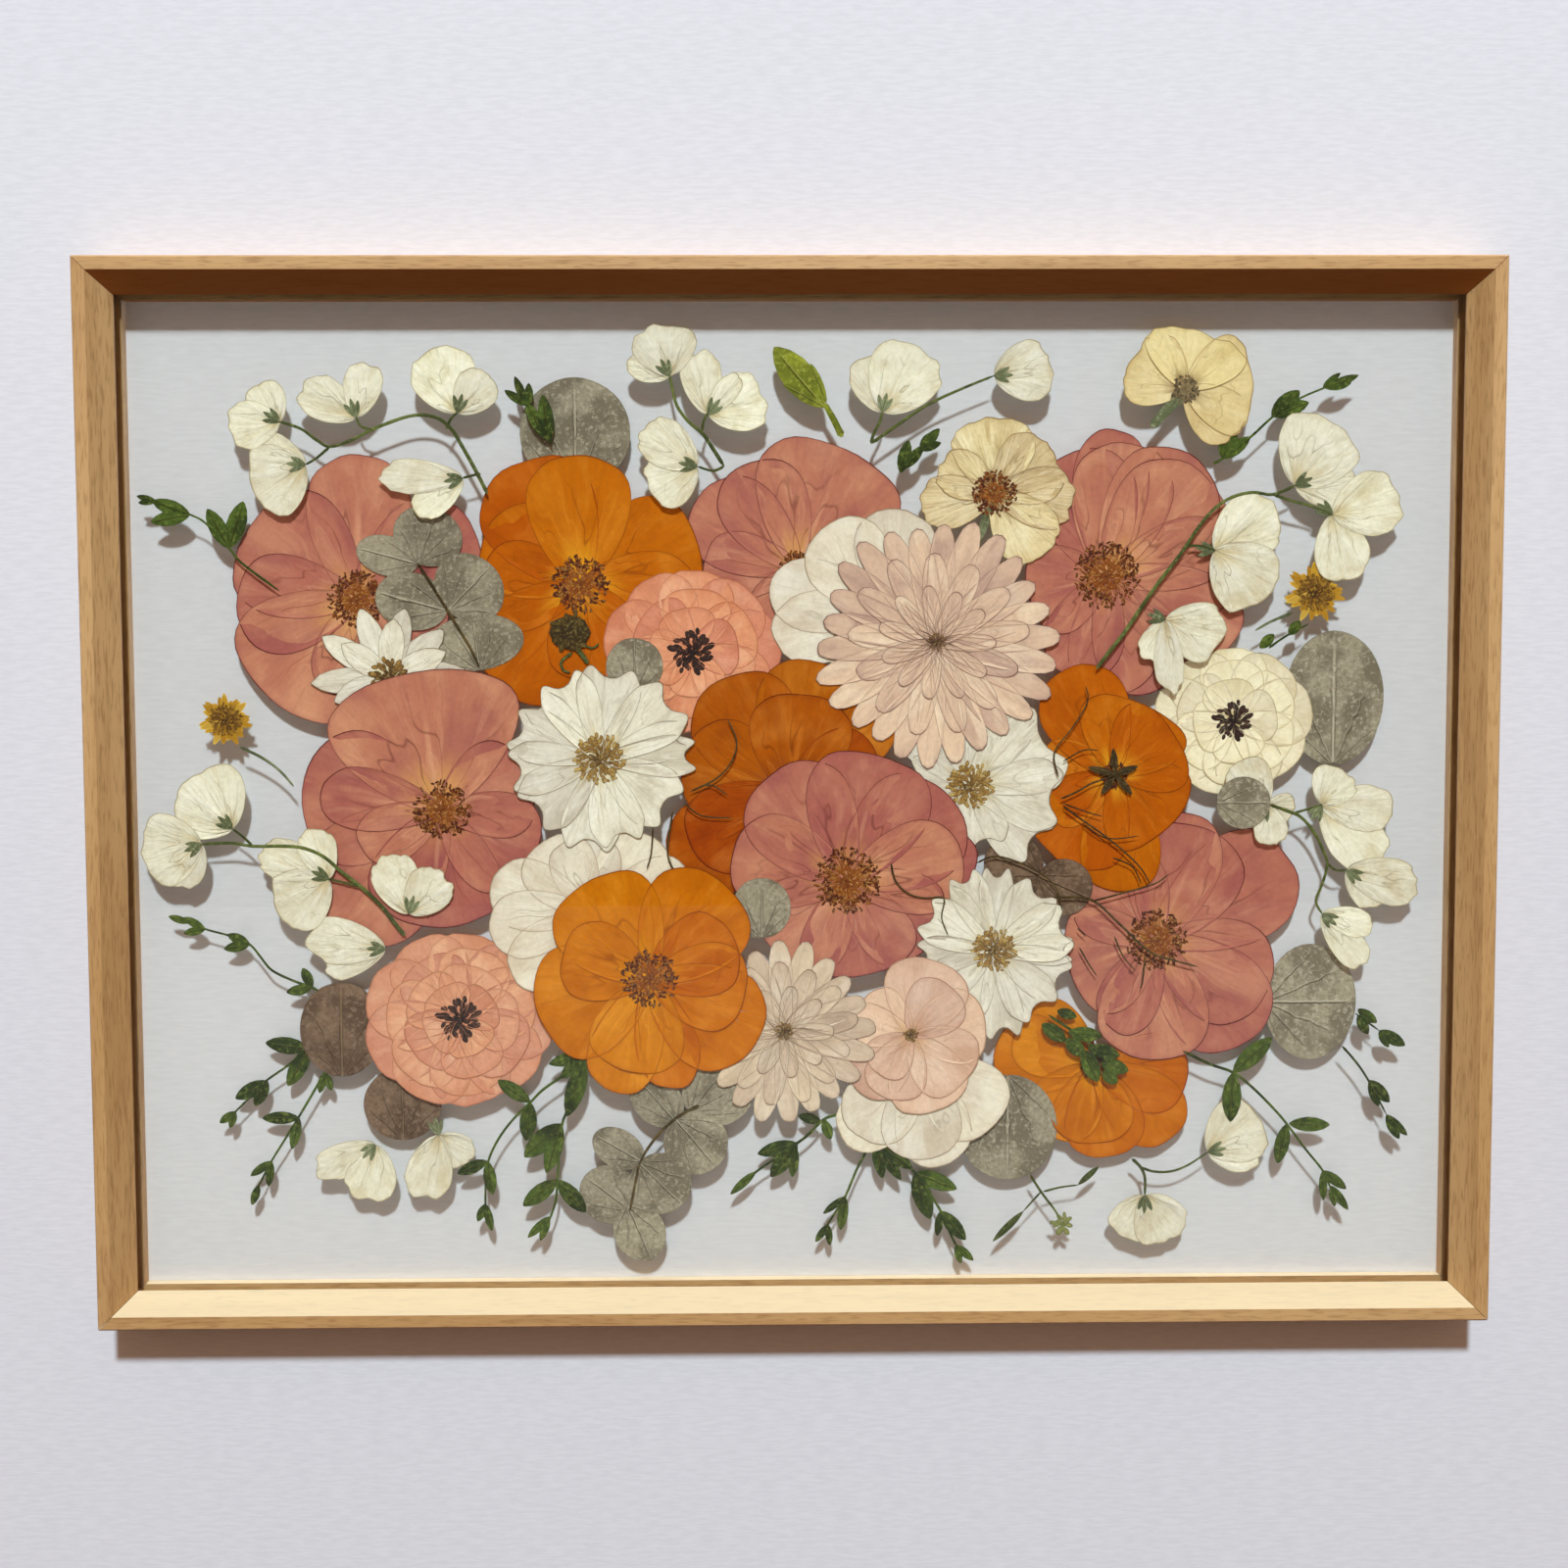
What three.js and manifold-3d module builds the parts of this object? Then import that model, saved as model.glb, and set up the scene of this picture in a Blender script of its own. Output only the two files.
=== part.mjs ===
// Pressed flower frame: a mitred wooden frame with two panes of glass, pressed flowers held between the
// panes, and a sawtooth hanger in the back of the top rail.
// Millimetres, +Z up, front towards -Y, wall plane at y = 0.
import * as THREE from 'three';
import Module from 'manifold-3d';
import { mergeVertices } from 'three/addons/utils/BufferGeometryUtils.js';

const wasm = await Module();
wasm.setup();

// Frame
const FRAME_WIDTH = 630;
const FRAME_HEIGHT = 477.6;
const FRAME_DEPTH = 24;
const EDGE_ROUND = 0.8; // small break of the outer front edge
const FACE_WIDTH = 6.2; // flat front face
const SIGHT_INSET = 14.75; // from the outer edge to the sight edge
const BEVEL_DEPTH = 9.6; // depth at which the bevel ends
const LIP_DEPTH = 10.4; // back of the lip, where the rabbet starts
const RABBET_INSET = 10;
const MITRE_GAP = 0.15; // each rail stops this far short of its mitre plane
const FIT_GAP = 0.3; // clearance round the glass and the stops

// Glass and stops, as depths behind the front face
const FRONT_GLASS = [10.6, 12.4];
const BACK_GLASS = [17.6, 19.2];
const STOP = [19.5, 24];

// Hanger, in a shallow recess in the back of the top rail
const HANGER_LENGTH = 42;
const HANGER_HEIGHT = 5;
const HANGER_THICK = 0.8;
const HANGER_INSET = 2.4; // from the outer edge to the top of the plate
const HANGER_TEETH = 14;
const TOOTH_DEPTH = 1.4;
const RECESS_DEPTH = 1.8;
const RECESS_MARGIN = 1.2;
const HANGER_REST = 0.2; // gap between the plate and the floor of its recess
const HANG_Z = FRAME_HEIGHT / 2 - HANGER_INSET - HANGER_HEIGHT + TOOTH_DEPTH; // height of the hanging point

// Plants lie in levels between the panes, level 0 at the back
const LEVEL_BACK = 17.45; // depth of the back of level 0
const LEVEL_PITCH = 0.4;
const PETAL_THICK = [0.16, 0.22]; // back and front petals of one flower
const NARROW_PETAL = 17; // petals below this width lie in one tier
const EYE_THICK = 0.3;
const STEM_THICK = 0.3;
const CALYX_RADIUS = 3;
const STALK_THICK = 0.28;
const PETAL_EGG = 0.35; // how far a petal's widest place lies towards its tip
const NARROW_EGG = 0.15;
const FLORET_EGG = 0.3;
const LEAF_SHARP = 1.1; // above 1 draws a leaf's ends to points
const SLIM_LEAF = 8; // pointed leaves up to this width have four corners
const LARGE_LEAF = 40; // round leaves above this width have more corners
const LARGE_LEAF_POINTS = 14;
const SMALL_LEAF_POINTS = 8;
const SIMPLIFY = 0.01; // short edges below this are merged
const LEAF_FOOT = 1; // overlap of a leaf's foot with its stem

// Finishes as [colour, roughness, metalness]
const FINISHES = {
  maple: [0xd8b27c, 0.5, 0],
  paleMaple: [0xe6d3ae, 0.6, 0],
  glass: [0xdfeee8, 0.05, 0],
  steel: [0xa0a0a0, 0.4, 1],
  dustyPetal: [0xb87868, 0.75, 0],
  orangePetal: [0xcb7226, 0.75, 0],
  coralPetal: [0xe0a084, 0.75, 0],
  mauvePetal: [0xd4b4a4, 0.75, 0],
  creamPetal: [0xe8dcb8, 0.75, 0],
  whitePetal: [0xe6dcc8, 0.75, 0],
  eucalyptus: [0x8c8c78, 0.7, 0],
  brownLeaf: [0x7c6450, 0.7, 0],
  darkLeaf: [0x3a4826, 0.7, 0],
  bud: [0x929a2c, 0.7, 0],
};
const BLOOM_WORDS = [
  ['orange', 'orangePetal'], ['cream', 'creamPetal'], ['coral', 'coralPetal'], ['peach', 'coralPetal'],
  ['rose', 'dustyPetal'], ['mauve', 'mauvePetal'], ['hydrangea', 'mauvePetal'],
];

// Flower heads, back to front in each list: petals are [angle, length, width] from the head's middle,
// rings are [count, first angle, length, width], eye is the radius of the middle.
const FLOWERS = {
  rose_upper_left: {at: [-197, 90], level: 0, eye: 13, petals: [
    [34, 64, 46], [330, 44, 40], [275, 46, 46], [88, 67, 46], [145, 60, 58], [183, 56, 44],
    [228, 62, 64]]},
  rose_orange_upper: {at: [-96, 97], level: 1, eye: 13, petals: [
    [150, 50, 42], [18, 58, 56], [120, 63, 52], [182, 46, 40], [233, 62, 52], [348, 54, 42],
    [285, 45, 45], [91, 60, 46]]},
  ranunculus_coral: {at: [-46, 66], level: 2, eye: 9, rings: [[9, 5, 40, 30], [7, 23, 30, 26],
    [6, 0, 20, 19]]},
  rose_upper_middle: {at: [2, 104], level: 0, eye: 8, petals: [
    [330, 32, 34], [250, 28, 30], [178, 44, 30], [145, 56, 42], [118, 54, 40], [68, 60, 66]]},
  white_flower_upper: {at: [45, 85], level: 3, eye: 6, petals: [
    [20, 35, 34], [300, 38, 34], [240, 40, 34], [193, 57, 32], [170, 58, 32], [88, 46, 36],
    [132, 50, 38]]},
  chrysanthemum_mauve: {at: [64.5, 70], level: 5, eye: 4, rings: [[26, 3, 56, 12.5], [13, 8, 42, 12],
    [11, 0, 27, 8]]},
  rose_cream_crinkled: {at: [91, 137], level: 1, eye: 10, stem: [5, [90, 133], [83, 115]], petals: [
    [150, 30, 22], [92, 36, 38], [190, 36, 24], [35, 34, 34], [355, 38, 28], [310, 38, 30]]},
  rose_upper_right: {at: [142, 100], level: 0, eye: 15, petals: [
    [105, 60, 45], [88, 68, 34], [80, 62, 45], [335, 68, 40], [5, 62, 45], [295, 58, 40],
    [275, 56, 40], [250, 50, 36],
    [195, 38, 40], [52, 68, 50], [38, 64, 60]]},
  poppy_cream: {at: [176, 183], level: 7, eye: 6, stem: [5.5, [176, 182], [168, 174], [161, 166]],
    petals: [
    [322, 33, 26], [150, 29, 34], [5, 32, 44], [75, 28, 46]]},
  daisy_white: {at: [-183, 55], level: 3, eye: 8, rings: [[10, 4, 35, 12], [6, 24, 28, 12]]},
  rose_left: {at: [-160, -5], level: 4, eye: 13, petals: [
    [172, 65, 60], [225, 75, 60], [265, 55, 60], [330, 48, 46], [20, 44, 44], [205, 42, 26],
    [100, 66, 84], [172, 57, 28]]},
  cosmos_left: {at: [-88, 18], level: 7, eye: 11, petals: [
    [138, 42, 16], [15, 43, 16], [188, 43, 22], [262, 44, 24], [325, 42, 26], [82, 44, 26],
    [160, 44, 22], [218, 42, 26],
    [285, 42, 22], [2, 46, 17], [38, 46, 26], [116, 43, 23]]},
  rose_orange_middle: {at: [-2, 2], level: 4, eye: 6, petals: [
    [65, 64, 64], [122, 62, 48], [160, 52, 45], [215, 66, 44], [20, 45, 40], [210, 52, 40],
    [80, 47, 46]]},
  rose_middle: {at: [24, -38], level: 6, eye: 15, petals: [
    [12, 62, 34], [325, 50, 44], [280, 46, 52], [225, 48, 46], [165, 56, 42], [125, 62, 50],
    [38, 62, 52], [75, 62, 56],
    [10, 56, 42]]},
  cosmos_right: {at: [80, 5], level: 4, eye: 10, petals: [
    [170, 30, 20], [125, 42, 28], [240, 28, 20], [90, 42, 28], [285, 30, 22], [320, 44, 28],
    [62, 44, 26], [352, 44, 30],
    [32, 46, 38]]},
  rose_orange_right: {at: [146, 10], level: 2, eye: 6, petals: [
    [190, 36, 40], [275, 56, 36], [235, 48, 48], [115, 54, 40], [315, 36, 46], [68, 36, 50],
    [35, 34, 44]]},
  rose_right: {at: [166, -66], level: 1, eye: 14, petals: [
    [315, 66, 48], [32, 74, 50], [200, 44, 50], [130, 42, 46], [79, 62, 44], [335, 58, 48],
    [66, 58, 50], [268, 57, 50],
    [245, 48, 28]]},
  ranunculus_cream: {at: [200, 34], level: 1, eye: 8, rings: [[9, 10, 36, 27], [8, 30, 29, 23],
    [7, 0, 20, 17]]},
  white_flower_left: {at: [-93, -52], level: 6, eye: 5, petals: [
    [23, 50, 24], [44, 46, 34], [95, 36, 32], [124, 40, 34], [164, 48, 32], [224, 48, 30],
    [190, 48, 30]]},
  rose_orange_lower: {at: [-66, -82], level: 10, eye: 13, petals: [
    [200, 54, 50], [251, 57, 30], [284, 54, 27], [328, 58, 48], [45, 56, 52], [355, 46, 42],
    [145, 55, 62], [258, 46, 42]]},
  ranunculus_peach: {at: [-153, -101], level: 5, eye: 9, rings: [[10, 0, 43, 31], [9, 20, 35, 27],
    [8, 0, 27, 22], [6, 20, 17, 16]]},
  cosmos_small: {at: [91, -70], level: 7, eye: 9.5, petals: [
    [133, 37, 16], [88, 40, 14], [0, 38, 13], [213, 34, 18], [240, 36, 20], [277, 43, 18],
    [335, 38, 22], [52, 38, 21],
    [113, 40, 16], [185, 37, 16], [152, 38, 20], [18, 38, 24], [308, 38, 22]]},
  hydrangea_blush: {at: [53, -109], level: 8, eye: 3, petals: [
    [228, 36, 26], [175, 34, 26], [10, 36, 34], [290, 38, 36], [72, 37, 38], [250, 32, 28],
    [150, 28, 28], [322, 34, 34],
    [50, 30, 28], [225, 24, 22]]},
  white_flower_lower: {at: [58, -122], level: 6, eye: 5, petals: [
    [228, 52, 30], [280, 50, 34], [321, 46, 38], [227, 46, 34], [270, 46, 36]]},
  aster_blush: {at: [-5, -107], level: 9, eye: 4, rings: [[18, 3, 42, 10.5], [9, 10, 32, 10],
    [8, 0, 20, 7]]},
  rose_orange_corner: {at: [138, -124], level: 0, eye: 6, petals: [
    [150, 42, 36], [170, 48, 36], [235, 40, 34], [320, 52, 34], [280, 45, 36], [352, 44, 36],
    [268, 38, 37]]},
};

// Eucalyptus: leaves are [base x, base z, angle, length, width], stems are [width, points...].
const ROUND_LEAVES = {
  eucalyptus_leaf_top: {level: 0, leaves: [[-98, 140, 90, 50, 50]]},
  eucalyptus_leaf_right: {level: 0, leaves: [[246, 14, 90, 62, 46]]},
  eucalyptus_leaf_lower_right: {level: 0, leaves: [[216, -95, 0, 43, 54]]},
  eucalyptus_leaf_bottom: {level: 1, leaves: [[98, -128, 270, 50, 46]]},
  eucalyptus_leaf_brown_left: {level: 4, leaves: [[-207, -127, 90, 44, 38]]},
  eucalyptus_leaf_brown_lower: {level: 0, leaves: [[-180, -157, 90, 34, 36]]},
  eucalyptus_leaf_middle: {level: 7, leaves: [[-15, -64, 90, 28, 27]]},
  eucalyptus_leaf_small_right: {level: 9, leaves: [[192, -3, 0, 25, 24]]},
  eucalyptus_pair_brown: {level: 3, leaves: [[113, -36, 159, 28, 27], [111, -36, 336, 27, 26]]},
  eucalyptus_sprig_left: {level: 2, stems: [[1.6, [-169, 106], [-156, 85], [-152, 78], [-146, 68],
    [-142, 59]]], leaves: [
    [-169, 106, 165, 29, 18], [-156, 85, 165, 34, 26], [-142, 58, 97, 26, 44], [-169, 106, 70, 27, 32],
    [-156, 85, 46, 29, 34]]},
  eucalyptus_sprig_bottom: {level: 7, stems: [[1.6, [-44, -141], [-50, -144], [-56, -148], [-64, -156],
    [-71, -167], [-74, -180], [-76, -190]]], leaves: [
    [-44, -146, 28, 27, 20], [-48, -144, 52, 25, 22], [-54, -149, 131, 29, 22],
    [-74, -191, 142, 29, 27], [-77, -187, 293, 28, 24],
    [-55, -147, 310, 30, 30], [-72, -167, 315, 29, 29], [-70, -167, 150, 26, 18]]},
};

// Sweet peas: florets are [base x, base z, petals].
const SWEET_PEAS = {
  sweet_pea_spray_upper_left: {level: 8, stems: [
    [1.8, [-137, 137], [-142, 147], [-148, 158], [-153, 166], [-160, 171], [-171, 171.5], [-187, 166],
    [-197, 161], [-207, 158], [-213, 161], [-220, 166], [-229, 169]],
    [1.4, [-207, 158], [-213, 153], [-218, 150]], [1.4, [-187, 165], [-193, 167], [-195, 171]],
    [1.4, [-155, 165.6], [-153, 170], [-150, 173]], [1.4, [-140, 146], [-144, 145], [-148, 144]]],
    florets: [
    [-229, 169, [[125, 21, 20], [185, 25, 22]]], [-218, 150, [[160, 27, 18], [205, 28, 34]]],
    [-195, 171, [[150, 30, 20], [78, 27, 18]]],
    [-150, 173, [[110, 32, 30], [50, 24, 20]]], [-148, 144, [[215, 28, 16], [178, 40, 16]]]]},
  sweet_pea_spray_top: {level: 8, stems: [
    [1.8, [-31, 149], [-38, 160], [-41, 164], [-47, 169], [-52, 176], [-54, 184], [-55, 189]],
    [1.4, [-41, 164], [-40, 169], [-38, 173]], [1.4, [-31, 149], [-36, 147], [-43, 149]]], florets: [
    [-55, 189, [[150, 22, 18], [100, 25, 30]]], [-38, 172, [[100, 31, 19], [20, 29, 27], [52, 24, 11]]],
    [-43, 149, [[205, 26, 26], [145, 32, 22]]]]},
  sweet_pea_spray_upper_middle: {level: 8, stems: [
    [1.6, [35, 159], [36, 163], [39, 169], [40, 173]], [1.6, [35, 159], [45, 166], [60, 176],
    [75, 183], [90, 189]]], florets: [
    [40, 173, [[105, 28, 22], [60, 36, 34]]], [90, 189, [[8, 28, 28]]]]},
  sweet_pea_spray_right: {level: 8, stems: [
    [1.9, [137, 58], [143, 66], [150, 75], [158, 87], [165, 97], [172, 106], [177, 113], [183, 122],
    [190, 130], [198, 135], [207, 137], [216, 136], [226, 140]],
    [1.5, [216, 136], [225, 133], [233, 131], [243, 127]], [1.4, [177, 113], [184, 113], [190, 111]]],
    florets: [
    [226, 140, [[0, 30, 22], [60, 36, 38]]], [243, 127, [[285, 33, 26], [15, 34, 30]]],
    [190, 111, [[35, 36, 30], [320, 34, 34]]]]},
  sweet_pea_spray_lower_right: {level: 8, stems: [
    [1.6, [216, -4], [225, -7], [231, -10], [237, -17], [241, -25], [243, -31], [241, -40], [238, -48],
    [241, -54]],
    [1.3, [227, -8], [234, -6], [240, -4]], [1.3, [243, -31], [247, -34], [252, -34]]], florets: [
    [240, -4, [[315, 42, 26], [355, 36, 22], [60, 20, 22]]], [252, -34, [[315, 24, 16], [345, 36, 22]]],
    [241, -54, [[310, 34, 16], [345, 26, 14]]], [215, -4, [[125, 26, 22], [350, 14, 14],
    [280, 20, 16]]]]},
  sweet_pea_spray_left: {level: 8, stems: [
    [1.9, [-177, -62], [-181, -57], [-187, -49], [-195, -41], [-205, -33], [-213, -26], [-222, -22],
    [-232, -21], [-245, -21], [-255, -19.5], [-268, -20]],
    [1.4, [-245, -21], [-249, -17], [-254, -13]], [1.4, [-197, -39.5], [-203, -38], [-211, -36]]],
    florets: [
    [-268, -20, [[228, 24, 22], [188, 29, 34]]], [-254, -13, [[165, 30, 18], [125, 32, 36]]],
    [-211, -36, [[157, 36, 20], [110, 26, 18], [215, 30, 30]]]]},
  sweet_pea_spray_bottom: {level: 7, stems: [
    [1.6, [155, -167], [159, -171], [161, -176], [161, -184]], [1.3, [159, -171], [165, -173],
    [173, -173], [181, -170], [190, -164]]], florets: [
    [161, -184, [[250, 24, 24], [300, 26, 26]]], [190, -164, [[0, 26, 20], [35, 31, 32]]]]},
};

// Small pointed leaves on thin stems, and one closed bud.
const FOLIAGE = {
  foliage_left: {level: 3, stems: [
    [1.3, [-206, -98], [-218, -87], [-228, -83], [-238, -78], [-243, -72], [-248, -66], [-257, -62],
    [-266, -59.5], [-276, -56]],
    [1.3, [-206, -98], [-214, -108], [-222, -114], [-232, -122], [-242, -129], [-250, -137],
    [-257, -144]],
    [1.3, [-206, -98], [-210, -115], [-215, -125], [-225, -142], [-235, -158], [-240, -166],
    [-247, -179]]], leaves: [
    [-220, -86, 115, 10, 5], [-220, -86, 190, 12, 5], [-248, -66, 155, 11, 5], [-248, -66, 190, 12, 5],
    [-268, -59, 190, 10, 4],
    [-268, -59, 150, 11, 4], [-275, -56, 162, 10, 3.5], [-222, -114, 172, 20, 8],
    [-222, -114, 240, 20, 8], [-241, -129, 208, 17, 7],
    [-241, -129, 242, 13, 6], [-256, -143, 215, 9, 4], [-256, -143, 250, 8, 3.5],
    [-215, -125, 255, 10, 4], [-215, -125, 290, 9, 4],
    [-227, -146, 180, 17, 6], [-227, -146, 256, 15, 5], [-240, -166, 215, 12, 4],
    [-240, -166, 262, 12, 4], [-246, -177, 250, 10, 4]]},
  foliage_lower_left: {level: 8, stems: [
    [1.4, [-92, -112], [-95, -117], [-105, -126], [-115, -133], [-121, -139], [-130, -148],
    [-137, -158], [-141, -168], [-142, -180], [-142, -188]],
    [1.4, [-92, -112], [-96, -120], [-100, -135], [-106, -147], [-108, -160], [-109, -175],
    [-110, -185], [-113, -194]]], leaves: [
    [-96, -117, 195, 17, 6], [-96, -118, 222, 15, 6], [-121, -139, 145, 18, 7],
    [-121, -139, 263, 18, 8], [-141, -166, 203, 15, 6],
    [-141, -166, 278, 16, 6], [-142, -186, 245, 9, 4], [-142, -186, 282, 13, 4],
    [-96, -120, 252, 27, 9], [-107, -149, 222, 23, 10],
    [-107, -149, 253, 24, 8], [-109, -175, 217, 20, 8], [-109, -175, 310, 20, 8],
    [-113, -192, 225, 14, 4], [-113, -192, 250, 12, 4]]},
  foliage_bottom: {level: 5, stems: [
    [1.5, [30, -145], [15, -147], [5, -156], [-5, -163], [-12, -168], [-19, -173], [-28, -181]],
    [1.4, [30, -145], [34, -158], [28, -172], [23, -184], [18, -192], [13, -200]],
    [1.5, [30, -145], [37, -158], [45, -163], [55, -173], [62, -183], [68, -193], [72, -203],
    [77, -212]]], leaves: [
    [13, -148, 290, 10, 5], [12, -149, 165, 11, 5], [1, -159, 195, 19, 7], [1, -159, 232, 20, 8],
    [0, -160, 265, 15, 5],
    [-18, -172, 222, 16, 4], [23, -184, 218, 13, 3.5], [23, -184, 262, 16, 5],
    [15, -197, 235, 10, 3.5], [15, -197, 275, 10, 3.5],
    [37, -158, 280, 18, 6], [37, -158, 302, 22, 6], [38, -159, 322, 20, 7], [55, -173, 338, 21, 8],
    [55, -173, 288, 23, 9],
    [67, -191, 310, 18, 7], [67, -191, 262, 12, 4], [74, -207, 318, 11, 4], [74, -207, 285, 9, 3.5]]},
  foliage_lower_right: {level: 8, stems: [
    [1.4, [178, -117], [190, -123], [201, -127], [210, -134], [220, -144], [226, -151], [235, -163],
    [243, -173], [247, -182]]], leaves: [
    [201, -127, 42, 24, 9], [201, -127, 268, 23, 9], [227, -151, 358, 19, 7], [226, -151, 258, 19, 7],
    [243, -173, 322, 14, 5],
    [243, -173, 272, 14, 4], [247, -180, 305, 14, 4], [247, -180, 280, 10, 3.5]]},
  lisianthus_bud: {level: 8, stems: [[3.4, [22, 162], [18, 170], [14, 177]]], leaves: [
    [14, 175, 130, 35, 15], [13, 176, 152, 20, 4], [15, 177, 112, 19, 4]]},
};

const TAU = 2 * Math.PI;
const rad = (degrees) => degrees * Math.PI / 180;

// ---- outlines in the plane of the plants, [x, z] with the frame's centre at 0 ----

// A petal from its base: round ends, widest towards the tip when egg is above 0.
function petalOutline([x, z, angle, length, width], { egg = PETAL_EGG, points = 7, sharp = 1 } = {}) {
  const outline = [];
  for (let i = 0; i < points; i += 1) {
    const t = TAU * i / points;
    const along = length / 2 * (1 - Math.cos(t));
    const side = Math.sign(Math.sin(t)) * Math.abs(Math.sin(t)) ** sharp;
    const across = width / 2 * side * (1 - egg * Math.cos(t));
    outline.push([
      x + along * Math.cos(rad(angle)) - across * Math.sin(rad(angle)),
      z + along * Math.sin(rad(angle)) + across * Math.cos(rad(angle)),
    ]);
  }
  return outline;
}

// A pointed leaf, with its foot sunk a little into the stem.
function leafOutline([x, z, angle, length, width]) {
  const foot = [x - LEAF_FOOT * Math.cos(rad(angle)), z - LEAF_FOOT * Math.sin(rad(angle))];
  const style = { egg: 0, points: width > SLIM_LEAF ? 6 : 4, sharp: LEAF_SHARP };
  return petalOutline([...foot, angle, length + LEAF_FOOT, width], style);
}

function discOutline(x, z, radius, points = 6) {
  return petalOutline([x - radius, z, 0, 2 * radius, 2 * radius], { egg: 0, points });
}

// A stem is a ribbon of constant width along every second point of its path.
function stemOutline(width, points) {
  const path = points.filter((_, i) => i % 2 === 0 || i === points.length - 1 || points.length < 5);
  const left = [];
  const right = [];
  path.forEach(([x, z], i) => {
    const [x0, z0] = path[Math.max(i - 1, 0)];
    const [x1, z1] = path[Math.min(i + 1, path.length - 1)];
    const run = Math.hypot(x1 - x0, z1 - z0);
    const nx = -(z1 - z0) / run * width / 2;
    const nz = (x1 - x0) / run * width / 2;
    left.push([x + nx, z + nz]);
    right.unshift([x - nx, z - nz]);
  });
  return [...left, ...right];
}

// Rings of petals as [count, first angle, length, width]; lengths vary a little round the ring.
function ringPetals(rings) {
  return rings.map(([count, first, length, width]) => Array.from({ length: count }, (_, k) => [
    first + 360 * k / count, length * (1 + 0.05 * Math.sin(5 * k + 1)), width,
  ]));
}

// ---- solids ----

function toSolid(geometry) {
  const bare = geometry.clone();
  bare.deleteAttribute('normal');
  bare.deleteAttribute('uv');
  const merged = mergeVertices(bare, 1e-4);
  return new wasm.Manifold(new wasm.Mesh({
    numProp: 3,
    vertProperties: new Float32Array(merged.attributes.position.array),
    triVerts: new Uint32Array(merged.index.array),
  }));
}

function toGeometry(solid) {
  const mesh = solid.getMesh();
  const geometry = new THREE.BufferGeometry();
  geometry.setAttribute('position', new THREE.BufferAttribute(new Float32Array(mesh.vertProperties), 3));
  geometry.setIndex(new THREE.BufferAttribute(new Uint32Array(mesh.triVerts), 1));
  geometry.computeVertexNormals();
  return geometry;
}

// A flat plate standing forward (towards -Y) from depth `back` behind the front face.
function plate(outline, back, thick) {
  const shape = new THREE.Shape(outline.map(([x, z]) => new THREE.Vector2(x, z)));
  const geometry = new THREE.ExtrudeGeometry(shape, { depth: thick, bevelEnabled: false, curveSegments: 1 });
  geometry.rotateX(Math.PI / 2);
  geometry.translate(0, back - FRAME_DEPTH, 0);
  return geometry;
}

function joined(geometries) {
  return toGeometry(wasm.Manifold.union(geometries.map(toSolid)).simplify(SIMPLIFY));
}

function box(x, y, z) {
  const geometry = new THREE.BoxGeometry(x[1] - x[0], y[1] - y[0], z[1] - z[0]);
  geometry.translate((x[0] + x[1]) / 2, (y[0] + y[1]) / 2, (z[0] + z[1]) / 2);
  return geometry;
}

// ---- wooden frame ----

// Rail section as [inset from the outer edge, depth behind the front face].
const RAIL_SECTION = [
  [0, EDGE_ROUND], [EDGE_ROUND, 0], [FACE_WIDTH, 0], [SIGHT_INSET, BEVEL_DEPTH], [SIGHT_INSET, LIP_DEPTH],
  [RABBET_INSET, LIP_DEPTH], [RABBET_INSET, FRAME_DEPTH], [0, FRAME_DEPTH],
];
const STOP_OUTER = RABBET_INSET + FIT_GAP;
const STOP_SECTION = [
  [STOP_OUTER, STOP[0]], [SIGHT_INSET, STOP[0]], [SIGHT_INSET, STOP[1]], [STOP_OUTER, STOP[1]],
];

// A mitred bar with the given section along one side of the frame: side 0 top, 1 right, 2 bottom, 3 left.
function mitredBar(section, side) {
  const length = side % 2 === 0 ? FRAME_WIDTH : FRAME_HEIGHT;
  const reach = side % 2 === 0 ? FRAME_HEIGHT : FRAME_WIDTH;
  const shape = new THREE.Shape(section.map(([inset, depth]) => new THREE.Vector2(inset, depth)));
  const geometry = new THREE.ExtrudeGeometry(shape, { depth: 1, bevelEnabled: false });
  const position = geometry.attributes.position;
  for (let i = 0; i < position.count; i += 1) {
    const inset = position.getX(i);
    const depth = position.getY(i);
    const end = position.getZ(i) > 0.5 ? 1 : -1;
    position.setXYZ(i, end * (length / 2 - inset - MITRE_GAP), depth - FRAME_DEPTH, reach / 2 - inset);
  }
  geometry.rotateY(side * Math.PI / 2);
  return geometry;
}

// Extruding along +z and laying the bar along x keeps the faces outward once the winding is checked.
function outward(geometry) {
  const solid = geometry.index ? geometry.toNonIndexed() : geometry;
  const p = solid.attributes.position;
  let volume = 0;
  const [a, b, c] = [new THREE.Vector3(), new THREE.Vector3(), new THREE.Vector3()];
  for (let i = 0; i < p.count; i += 3) {
    a.fromBufferAttribute(p, i);
    b.fromBufferAttribute(p, i + 1);
    c.fromBufferAttribute(p, i + 2);
    volume += a.dot(b.cross(c));
  }
  if (volume < 0) {
    for (let i = 0; i < p.count; i += 3) {
      b.fromBufferAttribute(p, i + 1);
      c.fromBufferAttribute(p, i + 2);
      p.setXYZ(i + 1, c.x, c.y, c.z);
      p.setXYZ(i + 2, b.x, b.y, b.z);
    }
  }
  const merged = mergeVertices(deleteExtras(solid), 1e-4);
  merged.computeVertexNormals();
  return merged;
}

function deleteExtras(geometry) {
  geometry.deleteAttribute('normal');
  geometry.deleteAttribute('uv');
  return geometry;
}

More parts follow.
